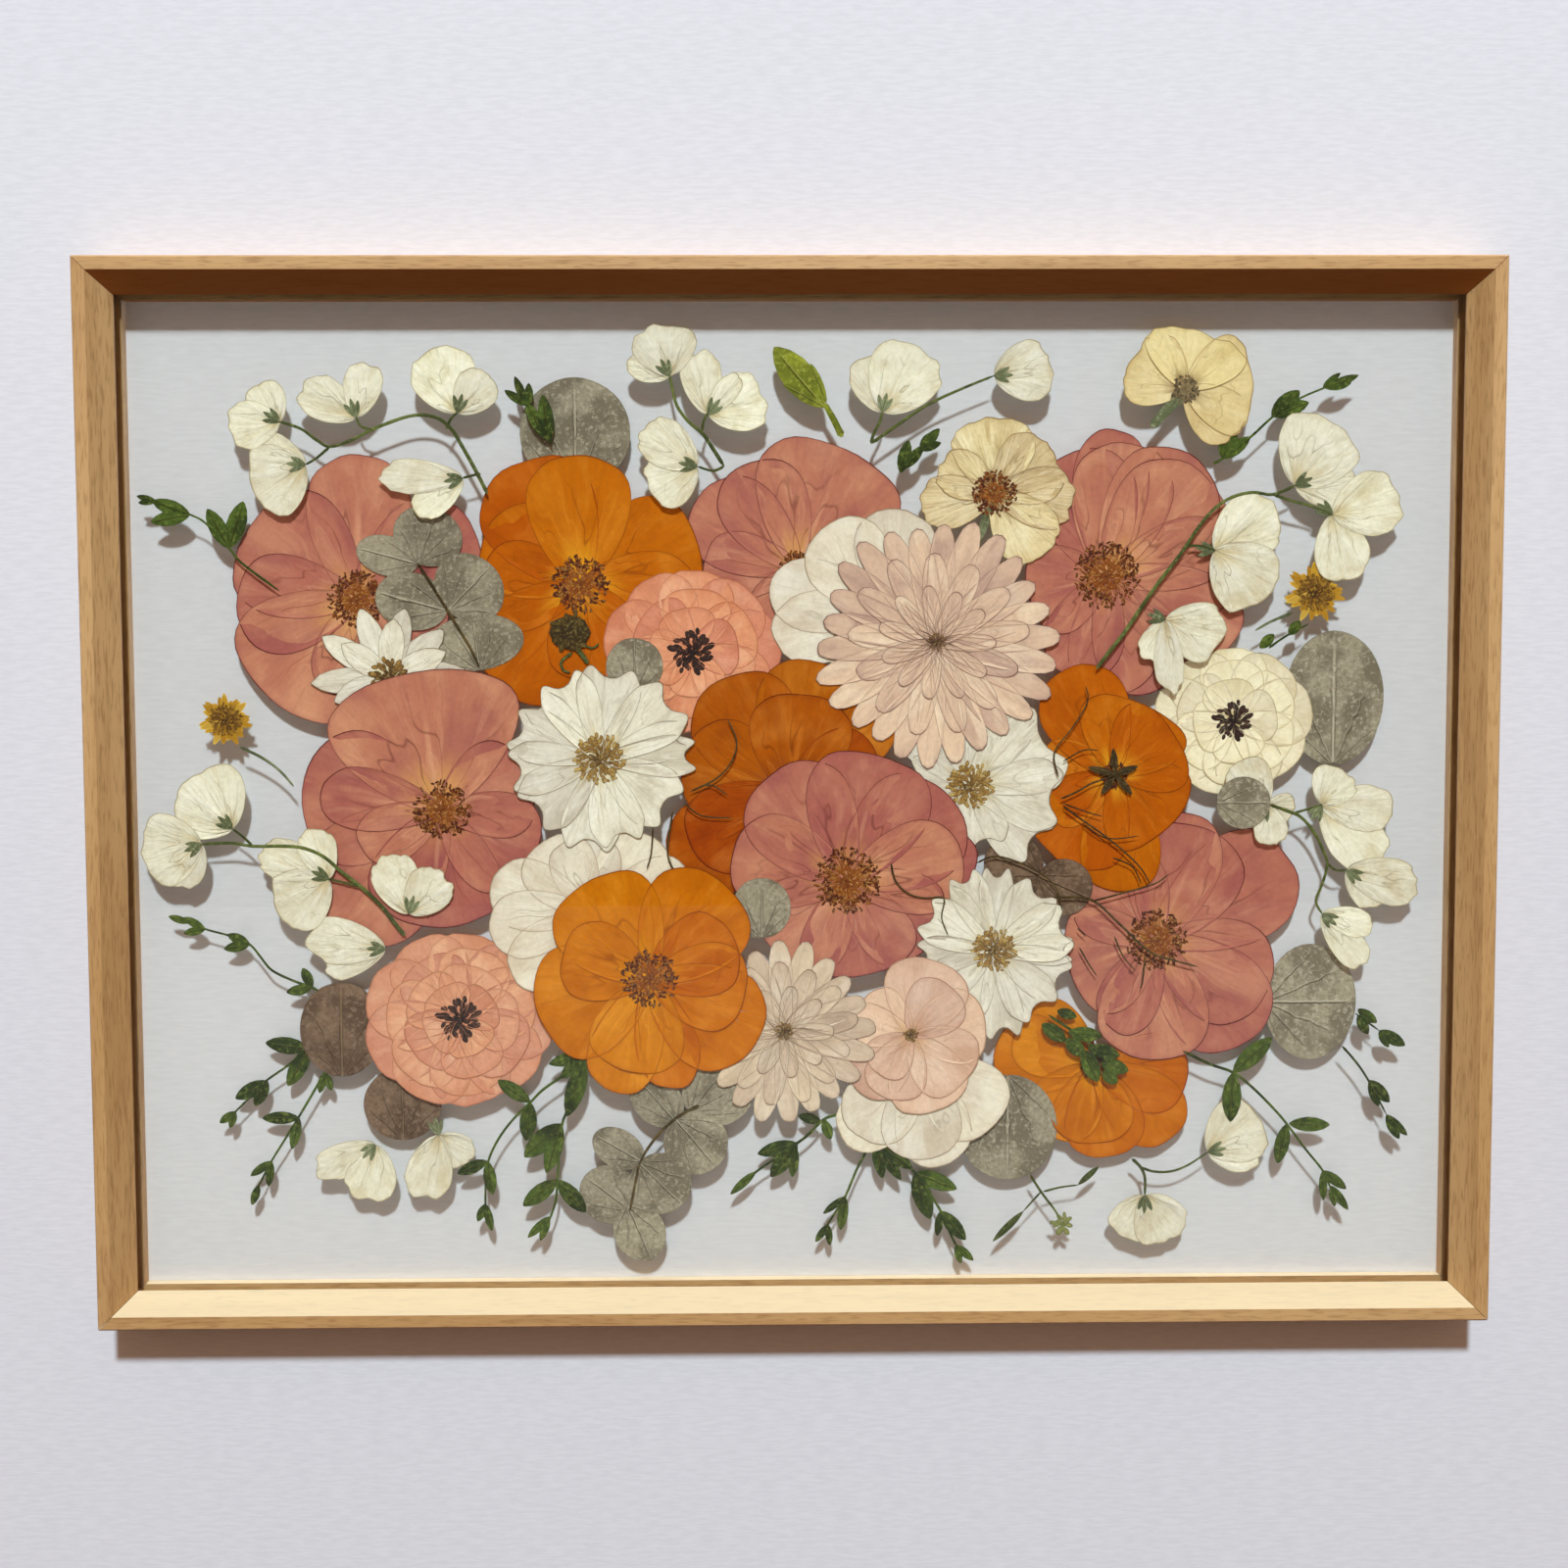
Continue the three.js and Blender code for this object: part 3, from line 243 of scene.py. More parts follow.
# What follows is too fine for solids of its own, and each plant lies on one of the solids.
SMALL_FOLIAGE = {
    "sprig_upper_left": {"kind": "foliage", "level": 7,
        "stems": [[1.2, [-231, 94], [-247, 106], [-253, 113], [-263, 124], [-270, 128], [-285, 134]]],
        "leaves": [[-253, 113, [118, 20, 8], [72, 22, 9]], [-270, 128, [160, 18, 7], [190, 18, 7]],
        [-285, 134, [165, 9, 3], [185, 8, 3]]]},
    "sprig_upper_orange": {"kind": "foliage", "level": 8,
        "stems": [[1.2, [-108, 159], [-113, 168], [-118, 176], [-121, 180]]],
        "leaves": [[-110, 161, [120, 19, 6]], [-109, 160, [98, 21, 7]],
        [-119, 176, [145, 12, 4], [112, 14, 4]], [-118, 176, [90, 10, 4]]]},
    "sprig_upper_middle": {"kind": "foliage", "level": 8, "stems": [[1.2, [48, 146], [54, 152], [58, 157]]],
        "leaves": [[48, 146, [75, 15, 6]], [50, 148, [50, 13, 5]],
        [57, 156, [48, 13, 5], [60, 9, 4], [20, 10, 4]]]},
    "sprig_upper_right": {"kind": "foliage", "level": 7,
        "stems": [[1.3, [189, 150], [193, 152], [206, 162], [216, 171], [228, 179], [240, 184]]],
        "leaves": [[193, 152, [72, 17, 8], [38, 16, 6]], [215, 171, [42, 17, 8], [20, 18, 7]],
        [238, 184, [8, 13, 5]], [240, 184, [20, 15, 4]], [238, 184, [38, 10, 3]]]},
    "sprig_pale_bottom": {"kind": "light_foliage", "level": 8,
        "stems": [[1.3, [108, -174], [113, -182], [119, -190], [122, -195]], [1.1, [113, -182], [105, -191]],
        [1.1, [114, -182], [122, -180], [130, -179]]],
        "leaves": [[105, -191, [225, 20, 3.5]], [130, -179, [42, 13, 3]]]},
    "sprig_orange_corner": {"kind": "foliage", "level": 8,
        "stems": [[1.3, [116, -100], [128, -108], [138, -116], [146, -126]]],
        "leaves": [[120, -98, [-18, 9.5, 5]], [113, -104, [-36, 14, 7]], [125, -108, [-7, 16, 7]],
        [124, -111, [-42, 12, 7]], [134, -115, [-15, 15.5, 7]], [132, -116, [-65, 16.5, 8]],
        [140, -122, [-17, 13.6, 7]], [141, -126, [-40, 9, 6]]]},
    "sprig_lower_right": {"kind": "foliage", "level": 8,
        "stems": [[1.2, [251, -115], [258, -123], [264, -132], [272, -147]],
        [1.1, [257, -100], [268, -108]]],
        "leaves": [[264, -131, [312, 14, 6], [290, 13, 5]], [272, -147, [298, 13, 5], [315, 14, 4]],
        [258, -98, [325, 11, 5]], [258, -101, [300, 10, 5]], [268, -108, [330, 14, 6], [300, 9, 4]]]},
    "twig_right": {"kind": "foliage", "level": 8, "stems": [[1.2, [215, 67], [222, 72], [233, 78]]],
        "leaves": [[211, 67, [45, 9, 5]], [224, 73, [50, 8, 5]]]},
    "eucalyptus_leaf_tiny": {"kind": "eucalyptus", "level": 3, "leaves": [[-72, 47, [90, 26, 26]]]},
}

LOOSE_FLORETS = {
    "floret_upper_right": {"level": 8, "florets": [[168, 80, [-20, 30, 28], [250, 22, 16], [275, 36, 14]]]},
    "florets_left": {"level": 8,
        "florets": [[-175, -52, [110, 31, 22], [50, 26, 22]], [-186, -68, [200, 32, 14], [170, 39, 22]]]},
    "florets_lower_left": {"level": 8,
        "florets": [[-192, -158, [205, 33, 16], [262, 29, 24]], [-163, -154, [-40, 20, 16], [255, 33, 22]]]},
}

LITTLE_DAISIES = {
    "yellow_daisy_left": {"at": [-256, 36], "disc": 7, "reach": 13, "level": 8,
        "stem": [[-250, 24], [-240, 19], [-232, 13], [-226, 6]]},
    "yellow_daisy_right": {"at": [236, 92], "disc": 8, "reach": 15, "level": 6,
        "stem": [[226, 83], [216, 79], [209, 75]]},
}

TENDRILS = {
    "tendrils_left": {"level": 9,
        "stems": [[0.9, [-47, 3], [-35, 9], [-28, 17], [-26, 26], [-30, 36]],
        [0.8, [-47, 3], [-38, 6], [-30, 1]], [0.8, [-50, -2], [-42, -8], [-28, -9]],
        [0.9, [-55, -6], [-57, -18], [-57, -28], [-51, -38]], [0.8, [-64, -13], [-65, -25], [-67, -32]]]},
    "tendrils_orange": {"level": 8,
        "stems": [[0.9, [121, -1], [128, 2], [135, 6], [141, 8], [146, 10]],
        [0.9, [122, -4], [130, -10], [140, -17], [150, -25], [158, -33], [162, -40]],
        [0.8, [120, 9], [118, 20], [126, 31], [133, 43], [132, 50]], [0.7, [122, -3], [133, -7], [140, -9]],
        [0.7, [122, 16], [131, 21], [138, 21]], [0.7, [131, -12], [142, -19], [157, -18]]]},
    "tendrils_right": {"level": 8,
        "stems": [[1.2, [118, -46], [135, -47], [147, -57], [162, -71], [173, -75], [184, -78]],
        [0.9, [135, -48], [150, -44], [164, -40], [170, -36]], [0.7, [129, -60], [133, -64]],
        [0.8, [130, -69], [134, -76], [138, -82]], [0.8, [146, -64], [150, -73], [156, -80]],
        [0.8, [160, -75], [159, -85], [158, -88]], [0.8, [145, -28], [154, -32], [158, -40]]]},
    "tendrils_middle": {"level": 8,
        "stems": [[0.9, [83, -30], [92, -27], [105, -31], [115, -37], [120, -43], [122, -52]],
        [0.9, [44, -30], [46, -38], [52, -44], [60, -46], [68, -46], [67, -55], [70, -63]]]},
}

SEED_HEAD = {"at": [-101, 75], "level": 3, "across": 9.5, "tall": 8.0, "stems": [
    [2.6, [-98, 68], [-95, 64], [-93, 61]], [1.4, [-100, 66], [-105, 62], [-104, 58], [-101, 57]],
    [1.2, [-96, 70], [-91, 68], [-88, 70]]]}
SEPAL_STAR = {"at": [146, 10], "level": 6, "width": 3.4, "sepals": [
    [95, 12], [20, 11], [310, 12], [235, 11], [165, 13]]}
BUD_CLUSTER = {"at": [123, -197], "level": 8, "reach": 4.5}

# ---- mesh building ----

# A petal's fan starts at this share of its length, and its rim at this angle in radians.
FOOT_REACH = 0.02
RIM_START = 0.22
# Its face crinkles and lifts, and its rim curls forward by the bloom's own curl in mm or the plain one.
CRINKLE_PITCH = 2.0
LIFT_SHARE = 0.5
LIFT_PITCH = 0.12
PLAIN_CURL = 0.16
CURL_POWER = 8
CURL_MEAN = 0.65
CURL_VARY = 0.6
CURL_PITCH = 1.6
# A stem narrows to this share of its width, with smaller ends, and swells a little here and there.
STEM_TAPER = 0.7
STEM_END = 0.35
STEM_SWELL = 0.12
SWELL_PITCH = 0.35
STEM_STEPS = 4
STEM_SIDES = 8
STEM_GRAIN = 0.05
BLOB_SIDES = 8
BLOB_RINGS = 2
# The edge map holds centimetres.
TO_CM = 0.1


def place(x, z, depth):
    """Turns plan measures into a point of the hung frame, in metres."""
    return Vector((x * MM, (depth - FRAME_DEPTH) * MM, (z - HANG_Z) * MM))


def layer_back(level):
    return LAYER_BACK - LAYER_PITCH * level


def petal_depth(level, k, count):
    """Depth of petal k of count, the first at the back of its layer."""
    return layer_back(level) - PETAL_FLOOR - PETAL_SPREAD * (k + 0.5) / count


def turn(x, z, angle):
    """Rotates a plan offset by an angle in degrees."""
    a = math.radians(angle)
    return x * math.cos(a) - z * math.sin(a), x * math.sin(a) + z * math.cos(a)


def wobble(seed, value, pitch=1.0):
    """Smooth repeatable wander between about -1 and 1."""
    return noise.noise(Vector((value * pitch, seed * 7.31, seed * 1.93)))


def scatter(k):
    """Repeatable spread of whole numbers over 0 to 1, with no pattern from one to the next."""
    return (math.sin(k * 12.9898 + 4.1) * 43758.5453) % 1.0


def new_object(name, points, faces, material):
    mesh = bpy.data.meshes.new(name)
    mesh.from_pydata(points, [], faces)
    mesh.materials.append(material)
    made = bpy.data.objects.new(name, mesh)
    bpy.context.scene.collection.objects.link(made)
    return made


class Sheet:
    """Gathers strips of points into one mesh with two maps: grain (across, along) and edge (rim, seed)."""

    def __init__(self):
        self.points = []
        self.faces = []
        self.grain = []
        self.edge = []

    def strip(self, rows):
        """Adds a grid of (point, grain, edge) rows as quads."""
        first = len(self.points)
        width = len(rows[0])
        for row in rows:
            for point, grain, edge in row:
                self.points.append(point)
                self.grain.append(grain)
                self.edge.append(edge)
        for r in range(len(rows) - 1):
            for c in range(width - 1):
                a = first + r * width + c
                self.faces.append((a, a + 1, a + width + 1, a + width))

    def finish(self, name, material, replaced=()):
        """Makes the piece, which rides on the frame."""
        piece = new_object(name, self.points, self.faces, material)
        mesh = piece.data
        for layer_name, values in (("grain", self.grain), ("edge", self.edge)):
            layer = mesh.uv_layers.new(name=layer_name)
            for loop in mesh.loops:
                layer.data[loop.index].uv = values[loop.vertex_index]
        mesh.polygons.foreach_set("use_smooth", [True] * len(mesh.polygons))
        mesh.update()
        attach(piece, "root")
        if replaced:
            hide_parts(*replaced)


def outline(form, t, length, width, seed):
    """Point on a petal's rim at t, as (along, across) from its foot."""
    side = math.copysign(abs(math.sin(t)) ** form["sharp"], math.sin(t))
    along = length / 2 * (1 - math.cos(t))
    across = width / 2 * side * (1 - form["egg"] * math.cos(t))
    outer = math.sin(t / 2) ** 2
    dip = form["wave"] * outer * (0.5 + 0.5 * wobble(seed, t, form["waves"]))
    teeth = form["teeth"] * outer ** 6 * (0.5 + 0.5 * math.cos(form["tooth_count"] * (t - math.pi)))
    return along * (1 - dip - teeth), across * (1 - dip)


def add_petal(sheet, form, foot, angle, length, width, depth, seed, curl=0.0):
    """Adds one petal or leaf as a fan of rays from its foot, its rim curled forward."""
    tone = scatter(seed)
    rows = []
    for i in range(form["rings"] + 1):
        reach = FOOT_REACH + (1 - FOOT_REACH) * i / form["rings"]
        row = []
        for j in range(form["rays"] + 1):
            t = RIM_START + (2 * math.pi - 2 * RIM_START) * j / form["rays"]
            along, across = outline(form, t, length, width, seed)
            ray = math.hypot(along, across)
            fan = math.atan2(across, along)
            x, z = turn(along * reach, across * reach, angle)
            crinkle = form["crinkle"] * reach * wobble(seed + 3, fan * form["folds"] + reach, CRINKLE_PITCH)
            lift = form["crinkle"] * LIFT_SHARE * wobble(seed + 5, along * reach * LIFT_PITCH)
            rise = curl * reach ** CURL_POWER * (CURL_MEAN + CURL_VARY * wobble(seed + 9, t, CURL_PITCH))
            point = place(foot[0] + x, foot[1] + z, depth + crinkle + lift - rise)
            row.append((point, (0.5 + fan / math.pi, reach), (ray * (1 - reach) * TO_CM, tone)))
        rows.append(row)
    sheet.strip(rows)


def smooth_path(points):
    """Catmull-Rom curve through plan points."""
    ends = [points[0], *points, points[-1]]
    path = []
    for k in range(1, len(ends) - 2):
        p0, p1, p2, p3 = (Vector(p) for p in ends[k - 1:k + 3])
        for s in range(STEM_STEPS):
            u = s / STEM_STEPS
            path.append(0.5 * (2 * p1 + (p2 - p0) * u + (2 * p0 - 5 * p1 + 4 * p2 - p3) * u * u
                               + (3 * p1 - p0 - 3 * p2 + p3) * u ** 3))
    path.append(Vector(points[-1]))
    return path


def add_stem(sheet, width, points, depth, thick, seed, tone=0.5):
    """Adds a flattened stem with closed ends along a smooth plan path."""
    path = smooth_path(points)
    last = len(path) - 1
    rows = []
    run = 0.0
    for k, spot in enumerate(path):
        before = path[max(k - 1, 0)]
        ahead = path[min(k + 1, last)] - before
        across = Vector((-ahead.y, ahead.x)).normalized()
        run += (spot - before).length
        swell = 1 + STEM_SWELL * wobble(seed, run, SWELL_PITCH)
        half = width / 2 * (1 - (1 - STEM_TAPER) * k / last) * swell
        if k in (0, last):
            half *= STEM_END
        row = []
        for side in range(STEM_SIDES + 1):
            a = 2 * math.pi * side / STEM_SIDES
            flat = spot + across * half * math.cos(a)
            point = place(flat.x, flat.y, depth - thick / 2 * math.sin(a))
            row.append((point, (side / STEM_SIDES, run * STEM_GRAIN), (half * TO_CM, tone)))
        rows.append(row)
    sheet.strip(rows)


def add_blob(sheet, x, z, rx, rz, angle, depth, thick, tone):
    """Adds a small flattened dome, such as an anther, a seed or a bud."""
    rows = []
    for i in range(BLOB_RINGS + 1):
        rise = math.pi / 2 * i / BLOB_RINGS
        row = []
        for j in range(BLOB_SIDES + 1):
            a = 2 * math.pi * j / BLOB_SIDES
            dx, dz = turn(rx * math.cos(a) * math.cos(rise), rz * math.sin(a) * math.cos(rise), angle)
            point = place(x + dx, z + dz, depth - thick * math.sin(rise))
            row.append((point, (j / BLOB_SIDES, i / BLOB_RINGS), (math.cos(rise) * TO_CM, tone)))
        rows.append(row)
    sheet.strip(rows)


# ---- petal and leaf forms ----

def form(**changes):
    """A shape: egg broadens the outer half, sharp narrows the ends, wave, teeth and crinkle ruffle it."""
    plain = {"egg": 0.35, "sharp": 1.0, "wave": 0.05, "waves": 2.0, "teeth": 0.0, "tooth_count": 6,
             "crinkle": 0.05, "folds": 2.0, "rays": 30, "rings": 9}
    plain.update(changes)
    return plain


ROSE_PETAL = form(wave=0.06, waves=1.8, rays=40)
RUFFLED_PETAL = form(wave=0.12, waves=4.0, rays=48, crinkle=0.09, folds=6.0)
ROUND_PETAL = form(wave=0.05, waves=2.4)
SLIM_PETAL = form(egg=0.15, sharp=0.8, wave=0.05, waves=1.5, rays=20, rings=6, crinkle=0.03)
DAISY_PETAL = form(egg=0.1, sharp=1.45, wave=0.06, rays=16, rings=6, crinkle=0.03)
COSMOS_PETAL = form(egg=0.55, sharp=0.76, wave=0.02, teeth=0.15, rays=72, tooth_count=7, crinkle=0.07,
                    folds=6.0)
FLORET_PETAL = form(egg=0.3, wave=0.16, waves=3.1, rays=36, crinkle=0.09)
ROUND_LEAF = form(egg=0.0, wave=0.03, waves=1.4, rays=36)
POINTED_LEAF = form(egg=0.0, sharp=1.5, wave=0.0, rays=14, rings=4, crinkle=0.02)

# ---- materials ----

# Patterns are counted per metre, and relief is in metres.
PETAL_SPECKLE = 520.0
LEAF_MOTTLE = 60.0
RIB_STEP = 0.13
RIB_DEPTH = 0.22
GLASS_TINT = (0.93, 0.93, 0.905, 1.0)
GLASS_SHADE = (0.985, 0.98, 0.972, 1.0)
GLASS_INDEX = 1.3
ZINC_BRIGHT = (0.62, 0.60, 0.54, 1.0)
ZINC_DULL = (0.42, 0.41, 0.39, 1.0)
# Only the lower rail's lip, which catches the light from above, gets a painted highlight: below this height
# in metres.
HIGHLIGHT_UNDER = -0.2
# Lengthwise and crosswise scales of the wood's fibres and bands and of the hanger's rolling marks.
FIBRE = (26.0, 260.0)
BAND = (2.6, 38.0)
ROLLING = (60.0, 900.0)


def srgb(red, green, blue):
    """Linear colour from display values of 0 to 255."""
    def linear(value):
        value = value / 255
        return value / 12.92 if value <= 0.04045 else ((value + 0.055) / 1.055) ** 2.4
    return (linear(red), linear(green), linear(blue), 1.0)


class Nodes:
    """Short names for the shader nodes that a material or the world is made of."""

    def __init__(self, owner):
        owner.use_nodes = True
        self.owner = owner
        self.tree = owner.node_tree
        self.tree.nodes.clear()

    def make(self, kind, inputs=None, **settings):
        """Adds a node, with its settings and its linked or constant inputs."""
        made = self.tree.nodes.new("ShaderNode" + kind)
        for key, value in settings.items():
            setattr(made, key, value)
        for key, value in (inputs or {}).items():
            if isinstance(value, bpy.types.NodeSocket):
                self.tree.links.new(value, made.inputs[key])
            else:
                made.inputs[key].default_value = value
        return made

    def add(self, kind, inputs=None, output=0, **settings):
        """Adds a node and gives one of its outputs."""
        return self.make(kind, inputs, **settings).outputs[output]

    def maths(self, operation, *values):
        return self.add("Math", dict(enumerate(values)), operation=operation)

    def times(self, a, b):
        return self.maths("MULTIPLY", a, b)

    def plus(self, a, b):
        return self.maths("ADD", a, b)

    def apart(self, a, b):
        """Distance between two values."""
        return self.maths("ABSOLUTE", self.maths("SUBTRACT", a, b))

    def weighed(self, *parts):
        """Sum of (value, weight) parts."""
        total = 0.0
        for value, weight in parts:
            total = self.maths("MULTIPLY_ADD", value, weight, total)
        return total

    def ease(self, value, low, high, start=0.0, end=1.0):
        """Smooth step of a value from low..high to start..end."""
        inputs = {0: value, 1: low, 2: high, 3: start, 4: end}
        return self.add("MapRange", inputs, interpolation_type="SMOOTHSTEP")

    def mix(self, factor, a, b):
        return self.add("Mix", {0: factor, 6: a, 7: b}, output=2, data_type="RGBA")

    def tint(self, colour, *steps):
        """Turns a colour towards others in turn, each by an amount as a value goes from low to high."""
        for other, amount, value, low, high in steps:
            colour = self.mix(self.ease(value, low, high, 0.0, amount), colour, other)
        return colour

    def spot(self):
        return self.add("TexCoord", output="Object")

    def split(self, vector):
        return self.make("SeparateXYZ", {0: vector}).outputs

    def scaled(self, vector, factors):
        return self.add("VectorMath", {0: vector, 1: factors}, operation="MULTIPLY")

    def clouds(self, vector, scale, detail=3.0, rough=0.55, warp=0.0):
        inputs = {"Vector": vector, "Scale": scale, "Detail": detail, "Roughness": rough, "Distortion": warp}
        return self.add("TexNoise", inputs)

    def maps(self):
        """The two maps of a sheet: across, along, rim distance in cm and the petal's own seed."""
        across, along, _ = self.split(self.add("UVMap", uv_map="grain"))
        rim_gap, seed, _ = self.split(self.add("UVMap", uv_map="edge"))
        return across, along, rim_gap, seed

    def fan(self, across, along, seed, count, run):
        """Coordinates that fan out along a petal, count of them across it, different for each petal."""
        inputs = {0: self.times(across, count), 1: self.times(along, run), 2: self.times(seed, 57.0)}
        return self.add("CombineXYZ", inputs)

    def contour(self, value, middle, breadth):
        """Thin line where a cloud passes a middle value."""
        return self.ease(self.apart(value, middle), breadth, 0.0)

    def relief(self, height, strength, distance):
        return self.add("Bump", {"Strength": strength, "Distance": distance, "Height": height})

    def show(self, shader):
        """Ends a material with its shader and gives it back."""
        self.make("OutputMaterial", {0: shader})
        return self.owner

    def skin(self, colour, rough, gloss, relief, **others):
        """Ends a material with one plain shader and gives it back."""
        inputs = {"Base Color": colour, "Roughness": rough, "Specular IOR Level": gloss, "Normal": relief}
        inputs.update({key.replace("_", " ").title(): value for key, value in others.items()})
        return self.show(self.add("BsdfPrincipled", inputs))


def new_nodes(name):
    return Nodes(bpy.data.materials.new(name))


def petal_material(name, pale, mid, deep, heart, rim, veins=26, vein_depth=0.3, blotch=45, heart_reach=0.22,
                   sheen=0.03, crease=0.5, fold_depth=0.35, rim_shadow_depth=0.85, lines=1.0, midrib=0.0):
    """Dried petal: fanned veins, drying blotches, creases drawn with painted shade, a coloured foot, and
    painted shade with a fine painted shadow line along the rim.
    """
    nodes = new_nodes(name)
    across, along, rim_gap, seed = nodes.maps()
    shift = nodes.add("CombineXYZ", {0: nodes.times(seed, 3.7), 1: nodes.times(seed, 1.3)})
    moved = nodes.add("VectorMath", {0: nodes.spot(), 1: shift}, operation="ADD")
    patch = nodes.clouds(moved, blotch, 3.0, 0.5)
    fine = nodes.clouds(moved, PETAL_SPECKLE, 3.0, 0.6)
    vein = nodes.clouds(nodes.fan(across, along, seed, veins, 1.8), 1.0, 4.0, 0.6)
    hair = nodes.clouds(nodes.fan(across, along, seed, veins * 3.2, 2.6), 1.0, 2.0, 0.5)
    fold = nodes.clouds(nodes.fan(across, along, seed, veins * 0.2, 0.9), 1.0, 2.0, 0.45)

    foot = nodes.plus(along, nodes.times(vein, 0.35))
    colour = nodes.tint(
        mid, (deep, 0.6, patch, 0.5, 0.28), (pale, 0.7, patch, 0.5, 0.75),
        (deep, fold_depth, fold, 0.46, 0.3), (pale, fold_depth, fold, 0.54, 0.7),
        (deep, vein_depth, vein, 0.46, 0.32), (pale, vein_depth, vein, 0.54, 0.68),
        (deep, vein_depth * 0.6, hair, 0.5, 0.7), (heart, 1.0, foot, heart_reach + 0.4, heart_reach))

    off_centre = nodes.apart(across, nodes.maths("MULTIPLY_ADD", fold, 0.05, 0.475))
    narrow = nodes.ease(nodes.times(off_centre, along), 0.009, 0.002)
    spine = nodes.times(narrow, nodes.ease(along, 0.8, 0.4, 0.0, midrib))
    reach = nodes.ease(along, 1.0, 0.45, 0.0, lines)
    # Creases are drawn as dark lines in the rim colour: painted shade in the grooves that the relief below
    # also cuts.
    shaded_crease = nodes.times(nodes.contour(fold, 0.5, 0.012), reach)
    ridge = nodes.times(nodes.contour(fold, 0.6, 0.016), reach)
    colour = nodes.mix(spine, colour, pale)
    colour = nodes.mix(nodes.times(shaded_crease, 0.5), colour, rim)
    colour = nodes.mix(nodes.times(ridge, 0.45), colour, pale)
    # Painted shade darkens each petal towards its rim, and a thin line in the rim colour along the rim is a
    # painted contact shadow.
    shadow_line = nodes.plus(rim_gap, nodes.ease(fold, 0.35, 0.65, 0.0, 0.025))
    colour = nodes.tint(colour, (deep, 0.3, rim_gap, 0.3, 0.0), (rim, rim_shadow_depth, shadow_line, 0.08, 0.03))

    shade = nodes.times(nodes.maths("MULTIPLY_ADD", seed, 0.2, 0.9), nodes.ease(fine, 0.3, 0.7, 0.95, 1.05))
    hue = nodes.maths("MULTIPLY_ADD", seed, 0.016, 0.492)
    colour = nodes.add("HueSaturation", {"Hue": hue, "Value": shade, "Color": colour})
    height = nodes.weighed((vein, 0.35), (fold, 1.5), (hair, 0.15), (patch, 1.2), (shaded_crease, -0.12))
    relief = nodes.relief(height, crease, 0.0015)
    rough = nodes.ease(fine, 0.3, 0.7, 0.6, 0.8)
    return nodes.skin(colour, rough, 0.06, relief, sheen_weight=sheen, sheen_roughness=0.5)


def seed_head_material(name, dark, light, speck):
    """Stamens, seeds and discs: dark, light and dusty grains by each grain's own tone."""
    nodes = new_nodes(name)
    _, _, rim_gap, tone = nodes.maps()
    grain = nodes.clouds(nodes.spot(), 900.0)
    # The last step darkens each grain towards its foot: painted shade where the grains crowd together.
    colour = nodes.tint(
        dark, (light, 1.0, tone, 0.15, 0.6), (speck, 1.0, tone, 0.65, 1.0),
        (speck, 0.5, grain, 0.52, 0.66), (dark, 0.6, rim_gap, 0.04, 0.1))
    return nodes.skin(colour, 0.78, 0.25, nodes.relief(grain, 0.5, 0.0004))


def leaf_material(name, pale, mid, deep, midrib):
    """Pressed leaf: mottled blade, pale ribs fanning from the foot, darker towards the margin."""
    nodes = new_nodes(name)
    across, along, rim_gap, seed = nodes.maps()
    spot = nodes.spot()
    patch = nodes.clouds(spot, LEAF_MOTTLE, 3.0, 0.5)
    fleck = nodes.clouds(spot, LEAF_MOTTLE * 9, 4.0, 0.65)
    wander = nodes.clouds(spot, LEAF_MOTTLE * 2.5, 2.0)
    off_centre = nodes.apart(across, 0.5)
    turned = nodes.plus(off_centre, nodes.maths("MULTIPLY_ADD", wander, 0.06, -0.03))
    from_rib = nodes.times(nodes.maths("PINGPONG", turned, RIB_STEP / 2), along)
    rib = nodes.times(nodes.ease(from_rib, 0.006, 0.001), nodes.ease(along, 1.0, 0.5))
    from_spine = nodes.times(off_centre, along)
    spine = nodes.times(nodes.ease(from_spine, 0.007, 0.001), nodes.ease(along, 1.05, 0.7))
    colour = nodes.tint(
        deep, (mid, 1.0, patch, 0.4, 0.6), (pale, 0.65, fleck, 0.5, 0.68), (deep, 0.6, fleck, 0.48, 0.34))
    colour = nodes.mix(nodes.times(rib, RIB_DEPTH), colour, midrib)
    colour = nodes.mix(nodes.times(spine, 0.7), colour, midrib)
    colour = nodes.tint(colour, (deep, 0.5, rim_gap, 0.07, 0.01))
    shade = nodes.maths("MULTIPLY_ADD", seed, 0.24, 0.88)
    colour = nodes.add("HueSaturation", {"Value": shade, "Color": colour})
    height = nodes.weighed((rib, 1.0), (spine, 1.0), (fleck, 0.8))
    return nodes.skin(colour, 0.7, 0.18, nodes.relief(height, 0.9, 0.0009))


def drawn_out(axis, along, across):
    """Scale factors of a pattern that is drawn out along one axis."""
    return tuple(along if k == axis else across for k in range(3))


